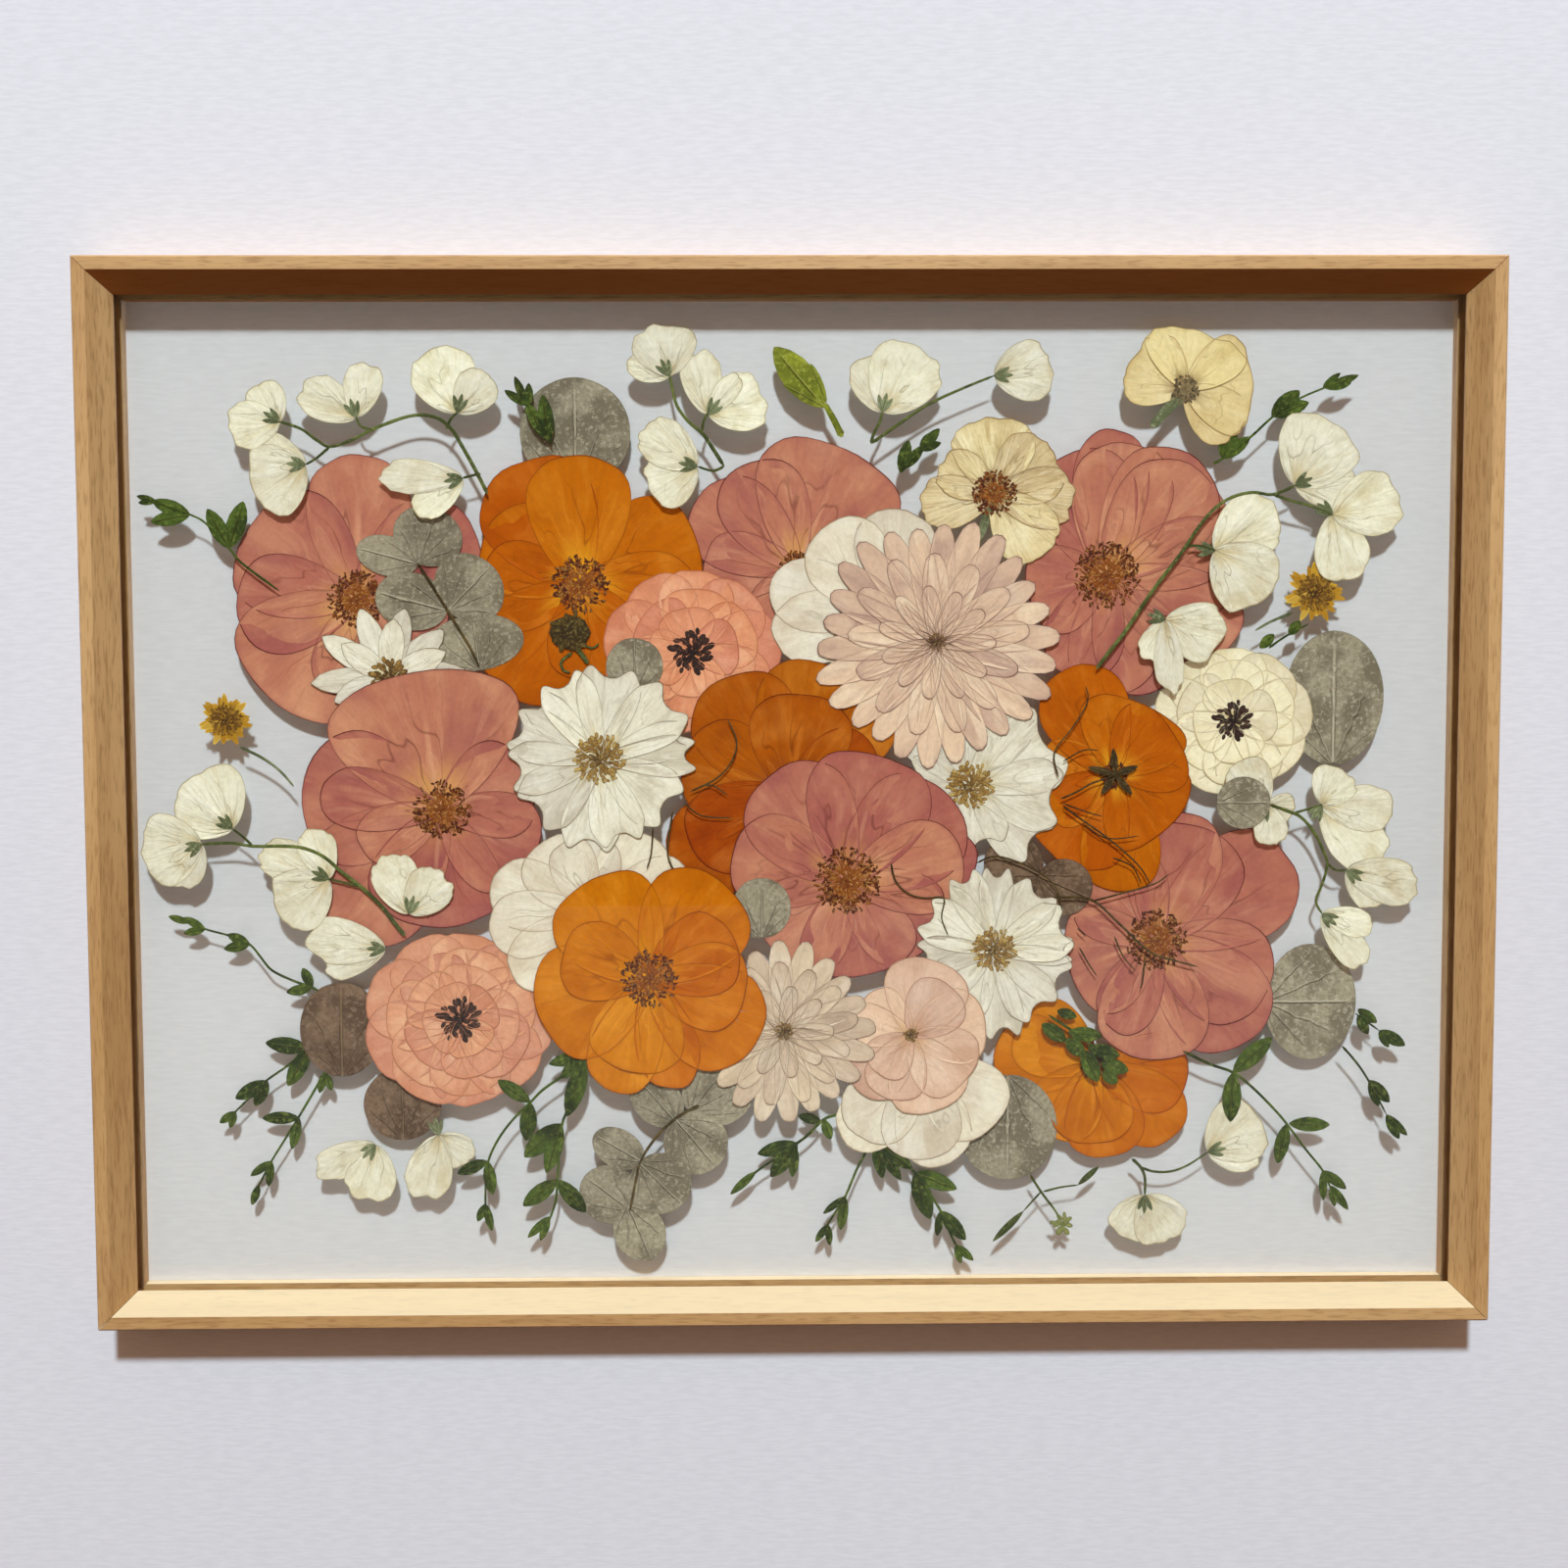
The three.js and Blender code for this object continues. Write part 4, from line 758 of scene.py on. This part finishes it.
def wood_material(name, pale, mid, deep, painted_highlight, painted_shade, axis):
    """Straight-grained maple, with a painted highlight on the lower rail's up-facing lip and painted shade
    where it faces down.
    """
    nodes = new_nodes(name)
    spot = nodes.spot()
    fibre = nodes.scaled(spot, drawn_out(axis, *FIBRE))
    streak = nodes.clouds(fibre, 1.0, 5.0, 0.6)
    pores = nodes.clouds(fibre, 4.0, 2.0, 0.5)
    flecks = nodes.clouds(fibre, 5.0, 2.0)
    band = nodes.clouds(nodes.scaled(spot, drawn_out(axis, *BAND)), 1.0, 3.0, 0.5, 0.6)
    facing = nodes.split(nodes.add("NewGeometry", output="Normal"))[2]
    low = nodes.ease(nodes.split(spot)[2], HIGHLIGHT_UNDER, HIGHLIGHT_UNDER - 0.01)
    colour = nodes.tint(
        mid, (pale, 1.0, band, 0.35, 0.65), (deep, 0.32, streak, 0.45, 0.7),
        (deep, 0.42, pores, 0.5, 0.66), (pale, 0.35, flecks, 0.55, 0.7))
    # Painted highlight on the lower rail's up-facing lip, then painted shade on every face that looks down.
    colour = nodes.mix(nodes.times(nodes.ease(facing, 0.45, 0.75, 0.0, 0.58), low), colour, painted_highlight)
    colour = nodes.tint(colour, (painted_shade, 0.75, facing, -0.45, -0.75))
    relief = nodes.relief(nodes.weighed((streak, 1.0), (pores, 0.5)), 0.12, 0.0005)
    return nodes.skin(colour, nodes.ease(streak, 0.3, 0.7, 0.42, 0.56), 0.4, relief)


def glass_material(name):
    """Clear float glass that lets lamplight through to what lies behind it."""
    nodes = new_nodes(name)
    ripple = nodes.relief(nodes.clouds(nodes.spot(), 9.0, 1.0), 0.02, 0.0004)
    pane = nodes.add("BsdfPrincipled", {
        "Base Color": GLASS_TINT, "Roughness": 0.0, "IOR": GLASS_INDEX, "Transmission Weight": 1.0,
        "Normal": ripple})
    clear = nodes.add("BsdfTransparent", {0: GLASS_SHADE})
    is_shadow = nodes.add("LightPath", output="Is Shadow Ray")
    return nodes.show(nodes.add("MixShader", {0: is_shadow, 1: pane, 2: clear}))


def steel_material(name):
    """Zinc-plated strip with rolling marks and dull spots."""
    nodes = new_nodes(name)
    spot = nodes.spot()
    marks = nodes.clouds(nodes.scaled(spot, drawn_out(0, *ROLLING)), 1.0)
    colour = nodes.tint(ZINC_BRIGHT, (ZINC_DULL, 1.0, nodes.clouds(spot, 240.0, 4.0), 0.4, 0.65))
    relief = nodes.relief(marks, 0.15, 0.0002)
    return nodes.skin(colour, nodes.ease(marks, 0.3, 0.7, 0.28, 0.5), 0.5, relief, metallic=1.0)


def colours(*triples):
    return [srgb(*triple) for triple in triples]


# Each petal look is its pale, mid, deep and heart colours, the colour of its painted rim shadow and creases,
# and what else differs from a plain petal.
PETAL_LOOKS = {
    "dusty": (colours((212, 150, 120), (186, 115, 95), (160, 88, 86), (210, 150, 92), (96, 38, 36)),
        {"fold_depth": 0.5, "midrib": 0.6, "rim_shadow_depth": 1.0}),
    "orange": (colours((210, 122, 32), (189, 94, 4), (166, 76, 2), (230, 158, 34), (118, 46, 8)),
        {"sheen": 0.0, "midrib": 0.3}),
    "bright_orange": (colours((226, 142, 40), (202, 112, 6), (178, 88, 0), (224, 146, 14), (126, 52, 4)),
        {"sheen": 0.0, "midrib": 0.3}),
    "deep_orange": (colours((202, 118, 40), (172, 82, 6), (142, 58, 10), (160, 82, 34), (98, 34, 10)),
        {"sheen": 0.0, "midrib": 0.3}),
    "coral": (colours((240, 182, 150), (226, 152, 118), (202, 120, 88), (206, 118, 76), (158, 84, 62)),
        {"fold_depth": 0.2, "veins": 16, "lines": 0.2, "rim_shadow_depth": 0.55}),
    "peach": (colours((240, 192, 158), (222, 158, 128), (200, 128, 98), (216, 142, 112), (158, 92, 64)),
        {"fold_depth": 0.2, "veins": 16, "lines": 0.2, "rim_shadow_depth": 0.55}),
    "mauve": (colours((240, 218, 194), (226, 194, 168), (186, 152, 138), (180, 150, 134), (122, 86, 80)),
        {"veins": 18, "vein_depth": 0.5, "heart_reach": 0.1, "lines": 0.5}),
    "blush": (colours((242, 216, 194), (228, 192, 168), (204, 160, 134), (212, 168, 130), (164, 122, 98)),
        {"fold_depth": 0.2, "lines": 0.5}),
    "aster": (colours((240, 226, 206), (222, 200, 174), (184, 160, 138), (200, 174, 136), (134, 110, 90)),
        {"veins": 18, "vein_depth": 0.45, "lines": 0.5}),
    "white": (colours((247, 244, 231), (232, 226, 208), (196, 184, 162), (208, 192, 146), (128, 112, 88)),
        {"vein_depth": 0.6, "lines": 0.6, "rim_shadow_depth": 1.0}),
    "creased_white": (colours((248, 243, 230), (234, 225, 205), (204, 184, 158), (212, 186, 146),
        (152, 130, 106)), {}),
    "cream": (colours((250, 244, 220), (244, 234, 204), (218, 200, 156), (206, 178, 120), (160, 138, 96)),
        {"fold_depth": 0.2, "lines": 0.2, "rim_shadow_depth": 0.55}),
    "crinkled_cream": (colours((246, 234, 198), (230, 210, 164), (186, 156, 106), (150, 110, 50),
        (136, 106, 66)), {"veins": 40, "vein_depth": 0.6, "crease": 1.0}),
    "butter": (colours((248, 234, 186), (238, 218, 162), (206, 178, 114), (150, 118, 74),
        (156, 128, 74)), {}),
    "pea": (colours((250, 247, 232), (240, 236, 214), (214, 200, 162), (222, 206, 162), (166, 150, 112)),
        {"crease": 1.0, "blotch": 80, "vein_depth": 0.4}),
}

# Pale, mid, deep and midrib colours.
LEAF_LOOKS = {
    "eucalyptus": colours((194, 187, 165), (161, 152, 130), (122, 113, 94), (206, 196, 172)),
    "brown_leaf": colours((150, 126, 104), (124, 100, 80), (92, 70, 54), (150, 122, 92)),
    "foliage": colours((126, 140, 62), (78, 98, 34), (40, 54, 18), (108, 116, 52)),
    "light_foliage": colours((136, 144, 82), (98, 108, 54), (66, 76, 36), (130, 132, 78)),
    "bud": colours((176, 180, 74), (146, 154, 44), (108, 116, 30), (170, 172, 80)),
    "calyx": colours((172, 178, 142), (136, 144, 108), (94, 102, 70), (160, 162, 112)),
    "tendril": colours((122, 102, 56), (94, 76, 40), (64, 50, 28), (110, 92, 54)),
}

# Dark, light and speck colours.
SEED_LOOKS = {
    "olive_globe": colours((52, 38, 14), (104, 84, 34), (146, 128, 66)),
    "green_buds": colours((88, 92, 46), (138, 142, 84), (176, 178, 122)),
    "rose_stamens": colours((72, 24, 8), (142, 74, 18), (206, 156, 78)),
    "dark_seeds": colours((32, 18, 20), (66, 42, 36), (104, 78, 60)),
    "gold_disc": colours((78, 54, 26), (146, 110, 54), (208, 178, 106)),
    "brown_disc": colours((50, 28, 8), (112, 74, 22), (186, 142, 52)),
    "grey_fuzz": colours((84, 70, 50), (138, 118, 84), (170, 152, 116)),
    "yellow_rays": colours((170, 120, 22), (222, 176, 52), (238, 202, 92)),
}

# Pale, mid, deep, painted-highlight and painted-shade colours.
MAPLE = colours((216, 173, 120), (200, 154, 101), (156, 111, 64), (255, 244, 208), (176, 100, 12))

# ---- plants ----

# Each kind of bloom's petal look, petal form, eye form, eye look and record slot.
BLOOM_KINDS = {
    "dusty_rose": ("dusty", ROSE_PETAL, "stamens", "rose_stamens", "dusty_petals"),
    "orange_rose": ("orange", ROSE_PETAL, "stamens", "rose_stamens", "orange_petals"),
    "bright_orange_rose": ("bright_orange", ROSE_PETAL, "stamens", "rose_stamens", "orange_petals"),
    "deep_orange_rose": ("deep_orange", ROSE_PETAL, "stamens", "rose_stamens", "orange_petals"),
    "crinkled_rose": ("crinkled_cream", RUFFLED_PETAL, "stamens", "rose_stamens", "cream_petals"),
    "poppy": ("butter", RUFFLED_PETAL, "stamens", "grey_fuzz", "cream_petals"),
    "coral_ranunculus": ("coral", ROUND_PETAL, "seeds", "dark_seeds", "coral_petals"),
    "peach_ranunculus": ("peach", ROUND_PETAL, "seeds", "dark_seeds", "coral_petals"),
    "cream_ranunculus": ("cream", ROUND_PETAL, "seeds", "dark_seeds", "cream_petals"),
    "chrysanthemum": ("mauve", SLIM_PETAL, "seeds", "gold_disc", "mauve_petals"),
    "aster": ("aster", SLIM_PETAL, "seeds", "gold_disc", "cream_petals"),
    "hydrangea": ("blush", ROUND_PETAL, "seeds", "gold_disc", "mauve_petals"),
    "cosmos": ("white", COSMOS_PETAL, "disc", "gold_disc", "white_petals"),
    "daisy": ("white", DAISY_PETAL, "seeds", "gold_disc", "white_petals"),
    "white_flower": ("creased_white", ROUND_PETAL, "seeds", "gold_disc", "white_petals"),
}

# Each kind of leaf's form, look, stem look and record slot.
LEAF_KINDS = {
    "eucalyptus": (ROUND_LEAF, "eucalyptus", "tendril", "eucalyptus_leaves"),
    "brown_leaf": (ROUND_LEAF, "brown_leaf", "tendril", "brown_leaves"),
    "foliage": (POINTED_LEAF, "foliage", "foliage", "green_foliage"),
    "light_foliage": (POINTED_LEAF, "light_foliage", "light_foliage", "green_foliage"),
    "bud": (POINTED_LEAF, "bud", "bud", "bud_green"),
}

# Each form of eye's count of grains, and the tones of the grains at its middle and its rim.
EYE_GRAINS = {"stamens": (34, 0.25, 0.8), "disc": (150, 0.1, 1.0), "seeds": (46, 0.0, 0.6)}
STAMENS_PER_MM = 13
STAMEN_WIDTH = 0.32
STAMEN_THICK = 0.06
STAMEN_KNOT = 0.42
GRAIN_LONG = 1.25
GRAIN_WIDE = 0.75
GRAIN_THICK = 0.1
ANTHER_LIFT = 0.03
GOLDEN_ANGLE = 137.508
CUP_LOBES = (-30, -6, 20)
CUP_LENGTH = 9.0
CUP_WIDTH = 2.4
CUP_SHORTEN = 0.05
DAISY_RAYS = 26
DAISY_RAY_WIDTH = 3.4
DAISY_STALK = 1.5
BUD_COUNT = 12
HEAD_GRAINS = 60


def petal_list(flower):
    """Every petal of a bloom as (angle, length, width), from the back to the front."""
    if "petals" in flower:
        return flower["petals"]
    petals = []
    for count, first, length, width in flower["rings"]:
        for k in range(count):
            vary = 1 + 0.05 * math.sin(5 * k + 1)
            petals.append((first + 360 * k / count, length * vary, width))
    return petals


def add_bloom(name, flower, materials):
    look, petal_form, eye_form, eye_look, slot = BLOOM_KINDS[flower["kind"]]
    level = flower["level"]
    petals = petal_list(flower)
    curl = flower.get("curl", PLAIN_CURL)
    first_seed = len(name) * 17
    sheet = Sheet()
    for k, (angle, length, width) in enumerate(petals):
        depth = petal_depth(level, k, len(petals))
        add_petal(sheet, petal_form, flower["at"], angle, length, width, depth, first_seed + k, curl)
    sheet.finish(name + "_petals", materials[look], [name])
    add_eye(name, flower["at"], flower["eye"], level, eye_form, materials[eye_look])
    if "stem" in flower:
        add_stems(name + "_stalk", [flower["stem"]], level, materials["calyx"], seed=3)


def add_eye(name, at, radius, level, eye_form, material):
    """The middle of a bloom: ringed stamens round a knot, a seedy knot or a flat disc of florets."""
    depth = layer_back(level) - EYE_DEPTH
    sheet = Sheet()
    if eye_form == "stamens":
        add_stamens(sheet, at, radius, depth, len(name))
        radius *= STAMEN_KNOT
    add_grains(sheet, at, radius, *EYE_GRAINS[eye_form], depth, len(name))
    sheet.finish(name + "_eye", material)


def add_stamens(sheet, at, radius, depth, seed):
    """A ragged ring of thin golden filaments with dark curled anthers."""
    for k in range(int(radius * STAMENS_PER_MM)):
        heading = 360 * scatter(k + seed * 31)
        reach = radius * (0.55 + 0.45 * scatter(k * 7 + seed))
        start = turn(radius * 0.3, 0, heading)
        bend = turn(reach * 0.7, reach * 0.25 * (scatter(k * 3 + 1) - 0.5), heading)
        tip = turn(reach, 0, heading)
        points = [(at[0] + dx, at[1] + dz) for dx, dz in (start, bend, tip)]
        add_stem(sheet, STAMEN_WIDTH, points, depth, STAMEN_THICK, k, tone=0.4 + 0.4 * scatter(k + 2))
        long = 0.9 + 0.7 * scatter(k + 5)
        wide = 0.4 + 0.25 * scatter(k + 6)
        turned = 360 * scatter(k + 7)
        tone = 0.5 * scatter(k + 8)
        add_blob(sheet, *points[-1], long, wide, turned, depth - ANTHER_LIFT, GRAIN_THICK, tone)


def add_grains(sheet, at, radius, count, dark, light, depth, seed):
    """A rough disc of overlapping grains, darker in the middle."""
    for k in range(count):
        share = math.sqrt((k + 0.5) / count)
        reach = radius * share * (0.9 + 0.2 * scatter(k + seed))
        dx, dz = turn(reach, 0, k * GOLDEN_ANGLE + 20 * scatter(k * 5))
        size = radius / math.sqrt(count) * (0.9 + 0.7 * scatter(k + 9))
        tone = dark + (light - dark) * (0.55 * share + 0.45 * scatter(k + 11))
        turned = k * GOLDEN_ANGLE + 60 * scatter(k + 13)
        thick = GRAIN_THICK + 0.04 * scatter(k)
        long = size * GRAIN_LONG
        wide = size * GRAIN_WIDE
        add_blob(sheet, at[0] + dx, at[1] + dz, long, wide, turned, depth, thick, tone)


def add_stems(name, stems, level, material, seed=0, seed_step=1):
    """Stems of one plant as one piece, each a width and its points."""
    sheet = Sheet()
    for k, (width, *points) in enumerate(stems):
        add_stem(sheet, width, points, layer_back(level) - STEM_MIDDLE, STEM_THICK, seed + seed_step * k)
    sheet.finish(name, material)


def own_solid(name):
    """The CAD node that a plant replaces, where it has one."""
    return [name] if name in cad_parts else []


def add_leaves(name, group, materials):
    leaf_form, look, stem_look, slot = LEAF_KINDS[group["kind"]]
    leaves = [(x, z, *leaf) for x, z, *pair in group["leaves"] for leaf in pair]
    level = group["level"]
    first_seed = len(name) * 11
    blades = Sheet()
    for k, (x, z, angle, length, width) in enumerate(leaves):
        depth = petal_depth(level, k, len(leaves))
        add_petal(blades, leaf_form, (x, z), angle, length, width, depth, first_seed + k)
    blades.finish(name + "_blades", materials[look], own_solid(name))
    if "stems" in group:
        add_stems(name + "_stems", group["stems"], level, materials[stem_look])


def add_spray(name, spray, materials):
    """Sweet pea florets, each with a green cup at its foot, and their stems."""
    level = spray["level"]
    petals = Sheet()
    cups = Sheet()
    for f, (x, z, *parts) in enumerate(spray["florets"]):
        first_seed = len(name) + 5 * f
        for k, (angle, length, width) in enumerate(parts):
            depth = petal_depth(level, k, len(parts))
            add_petal(petals, FLORET_PETAL, (x, z), angle, length, width, depth, first_seed + k)
        heading = sum(part[0] for part in parts) / len(parts)
        for lobe in CUP_LOBES:
            length = CUP_LENGTH - CUP_SHORTEN * abs(lobe)
            depth = layer_back(level) - EYE_DEPTH
            add_petal(cups, POINTED_LEAF, (x, z), heading + lobe, length, CUP_WIDTH, depth, lobe + f)
    petals.finish(name + "_petals", materials["pea"], own_solid(name))
    cups.finish(name + "_cups", materials["calyx"])
    if "stems" in spray:
        add_stems(name + "_stems", spray["stems"], level, materials["light_foliage"])


def add_little_daisy(name, daisy, materials):
    level = daisy["level"]
    rays = Sheet()
    for k in range(DAISY_RAYS):
        length = daisy["reach"] * (0.86 + 0.14 * math.sin(k * 2.1))
        depth = layer_back(level) - PETAL_FLOOR - PETAL_SPREAD * k / DAISY_RAYS
        add_petal(rays, DAISY_PETAL, daisy["at"], k * GOLDEN_ANGLE, length, DAISY_RAY_WIDTH, depth, k)
    rays.finish(name + "_rays", materials["yellow_rays"])
    add_eye(name, daisy["at"], daisy["disc"], level, "disc", materials["brown_disc"])
    add_stems(name + "_stalk", [[DAISY_STALK, *daisy["stem"]]], level, materials["calyx"], seed=2)


def add_seed_head(materials):
    """A dried globe on a short stalk, with two curled bracts."""
    level = SEED_HEAD["level"]
    at = SEED_HEAD["at"]
    back = layer_back(level)
    globe = Sheet()
    add_blob(globe, *at, SEED_HEAD["across"], SEED_HEAD["tall"], 0, back - STEM_MIDDLE, 0.2, 0.2)
    add_grains(globe, at, SEED_HEAD["tall"], HEAD_GRAINS, 0.0, 0.5, back - EYE_DEPTH, 5)
    globe.finish("seed_head", materials["olive_globe"])
    add_stems("seed_head_stalk", SEED_HEAD["stems"], level, materials["light_foliage"], seed=4, seed_step=0)


def add_sepal_star(materials):
    """Five narrow sepals round the middle of the right orange rose."""
    depth = layer_back(SEPAL_STAR["level"]) - EYE_DEPTH
    star = Sheet()
    for k, (angle, length) in enumerate(SEPAL_STAR["sepals"]):
        add_petal(star, POINTED_LEAF, SEPAL_STAR["at"], angle, length, SEPAL_STAR["width"], depth, k)
    star.finish("sepal_star", materials["tendril"])


def add_bud_cluster(materials):
    """A pinch of closed buds at the end of the pale sprig."""
    depth = layer_back(BUD_CLUSTER["level"]) - STEM_MIDDLE
    buds = Sheet()
    add_grains(buds, BUD_CLUSTER["at"], BUD_CLUSTER["reach"], BUD_COUNT, 0.2, 0.9, depth, 7)
    buds.finish("bud_cluster", materials["green_buds"])


def add_plants(materials):
    for name, flower in FLOWERS.items():
        add_bloom(name, flower, materials)
    for name, group in {**ROUND_LEAVES, **FOLIAGE}.items():
        add_leaves(name, group, materials)
    for name, spray in {**SWEET_PEAS, **LOOSE_FLORETS}.items():
        add_spray(name, spray, materials)
    for name, group in SMALL_FOLIAGE.items():
        add_leaves(name, group, materials)
    add_seed_head(materials)
    add_sepal_star(materials)
    add_bud_cluster(materials)
    for name, daisy in LITTLE_DAISIES.items():
        add_little_daisy(name, daisy, materials)
    for name, group in TENDRILS.items():
        add_stems(name, group["stems"], group["level"], materials["tendril"])


# ---- stage, lamps and camera ----

STAGE_REACH = 6.0
WALL_GAP = 0.0002
WALL_LOW = srgb(231, 231, 240)
WALL_HIGH = srgb(238, 238, 247)
WALL_BRUSH = (110.0, 110.0, 700.0)
FLOOR_Z = -1.05
FLOOR_LOW = srgb(206, 203, 198)
FLOOR_HIGH = srgb(216, 213, 208)
ROOM_COLOUR = (0.09, 0.06, 0.04, 1.0)
BEHIND_COLOUR = (0.62, 0.61, 0.58, 1.0)
LAMP_FAR = 6.0
# Name, kind, breadth, power, colour, rise in degrees from straight in front, and metres to the side.
LAMPS = (
    ("key", "AREA", 0.53, 365.0, (0.79, 0.935, 0.99), 43.5, 0.0),
    ("ceiling_glow", "SUN", 130.0, 0.9, (1.0, 0.56, 0.33), 55.0, 0.0),
    ("back_light", "SUN", 70.0, 1.3, (1.0, 1.0, 1.0), 152.0, 0.5),
)
CAMERA_PLACE = (-0.0126, -0.7442, -0.1874)
CAMERA_YAW = -0.625
CAMERA_PITCH = 86.95
CAMERA_ROLL = -0.185
CAMERA_LENS = 37.24
SENSOR_WIDTH = 36.0


def wall_material():
    """Painted plaster with fine level brush lines, clear to lamps and to a view from behind."""
    nodes = new_nodes("wall_paint")
    lines = nodes.clouds(nodes.scaled(nodes.spot(), WALL_BRUSH), 1.0, 4.0, 0.6)
    colour = nodes.tint(WALL_LOW, (WALL_HIGH, 1.0, lines, 0.35, 0.65))
    paint = nodes.add("BsdfDiffuse", {"Color": colour, "Normal": nodes.relief(lines, 0.12, 0.0003)})
    is_shadow = nodes.add("LightPath", output="Is Shadow Ray")
    passing = nodes.maths("MAXIMUM", is_shadow, nodes.add("NewGeometry", output="Backfacing"))
    return nodes.show(nodes.add("MixShader", {0: passing, 1: paint, 2: nodes.add("BsdfTransparent")}))


def floor_material():
    nodes = new_nodes("pale_floor")
    colour = nodes.tint(FLOOR_LOW, (FLOOR_HIGH, 1.0, nodes.clouds(nodes.spot(), 6.0), 0.35, 0.65))
    return nodes.show(nodes.add("BsdfPrincipled", {"Base Color": colour, "Roughness": 0.8}))


def add_stage():
    """The wall that the frame hangs on, seen from its front only, and a floor that casts no colour."""
    far = STAGE_REACH
    corners = ((-far, -far), (far, -far), (far, far), (-far, far))
    wall = new_object("wall", [(x, WALL_GAP, z) for x, z in corners], [(0, 1, 2, 3)], wall_material())
    floor = new_object("floor", [(x, y, FLOOR_Z) for x, y in corners], [(0, 1, 2, 3)], floor_material())
    floor.visible_glossy = False
    floor.visible_diffuse = False


def shine_past_glass(light):
    """Lamps light what lies behind the panes, but the panes themselves don't pass their light on again."""
    panes = bpy.data.collections.new(light.name + "_panes")
    panes.objects.link(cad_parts["glass_front"])
    panes.objects.link(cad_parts["glass_back"])
    light.light_linking.receiver_collection = panes
    for pane in panes.collection_objects:
        pane.light_linking.link_state = "EXCLUDE"


def add_lamp(name, kind, breadth, power, colour, rise, side):
    """A round lamp (breadth in metres) or a sun (breadth in degrees) that faces the middle of the frame."""
    lamp = bpy.data.lights.new(name, kind)
    if kind == "AREA":
        lamp.shape = "DISK"
        lamp.size = breadth
    else:
        lamp.angle = math.radians(breadth)
    lamp.energy = power
    lamp.color = colour
    lamp.cycles.use_multiple_importance_sampling = False
    light = bpy.data.objects.new(name, lamp)
    target = Vector((0, -FRAME_DEPTH * MM, -HANG_Z * MM))
    angle = math.radians(rise)
    light.location = target + Vector((side, -LAMP_FAR * math.cos(angle), LAMP_FAR * math.sin(angle)))
    light.rotation_euler = (target - light.location).to_track_quat("-Z", "Y").to_euler()
    bpy.context.scene.collection.objects.link(light)
    shine_past_glass(light)


def add_room():
    """A dim room in front of the wall, and a pale one behind it."""
    world = bpy.data.worlds.new("room")
    nodes = Nodes(world)
    heading = nodes.split(nodes.add("TexCoord", output="Generated"))[1]
    room = nodes.tint(ROOM_COLOUR, (BEHIND_COLOUR, 1.0, heading, -0.1, 0.25))
    nodes.make("OutputWorld", {0: nodes.add("Background", {0: room})})
    world.cycles.sampling_method = "NONE"
    bpy.context.scene.world = world


def add_camera():
    data = bpy.data.cameras.new("camera")
    data.sensor_width = SENSOR_WIDTH
    data.lens = CAMERA_LENS
    camera = bpy.data.objects.new("camera", data)
    yaw = Matrix.Rotation(math.radians(CAMERA_YAW), 4, "Z")
    pitch = Matrix.Rotation(math.radians(CAMERA_PITCH), 4, "X")
    roll = Matrix.Rotation(math.radians(CAMERA_ROLL), 4, "Z")
    camera.matrix_world = Matrix.Translation(CAMERA_PLACE) @ yaw @ pitch @ roll
    bpy.context.scene.collection.objects.link(camera)
    bpy.context.scene.camera = camera


# ---- the whole ----

def make_materials():
    materials = {}
    for name, (tones, settings) in PETAL_LOOKS.items():
        materials[name] = petal_material("petal_" + name, *tones, **settings)
    for name, tones in LEAF_LOOKS.items():
        materials[name] = leaf_material("leaf_" + name, *tones)
    for name, tones in SEED_LOOKS.items():
        materials[name] = seed_head_material("seed_" + name, *tones)
    return materials


def finish_solid(name, material):
    """Gives a carried-over solid its surface."""
    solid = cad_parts[name]
    solid.data.materials.clear()
    solid.data.materials.append(material)


def finish_solids():
    """Surfaces of the wood, the panes and the hanger."""
    level_maple = wood_material("maple_level", *MAPLE, 0)
    upright_maple = wood_material("maple_upright", *MAPLE, 2)
    for side in ("top", "bottom", "left", "right"):
        wood = level_maple if side in ("top", "bottom") else upright_maple
        finish_solid("rail_" + side, wood)
        finish_solid("stop_" + side, wood)
    glass = glass_material("float_glass")
    finish_solid("glass_front", glass)
    finish_solid("glass_back", glass)
    finish_solid("sawtooth_hanger", steel_material("zinc_plate"))


finish_solids()
add_plants(make_materials())
add_stage()
for lamp in LAMPS:
    add_lamp(*lamp)
add_room()
add_camera()
bpy.context.scene.view_settings.view_transform = "Standard"
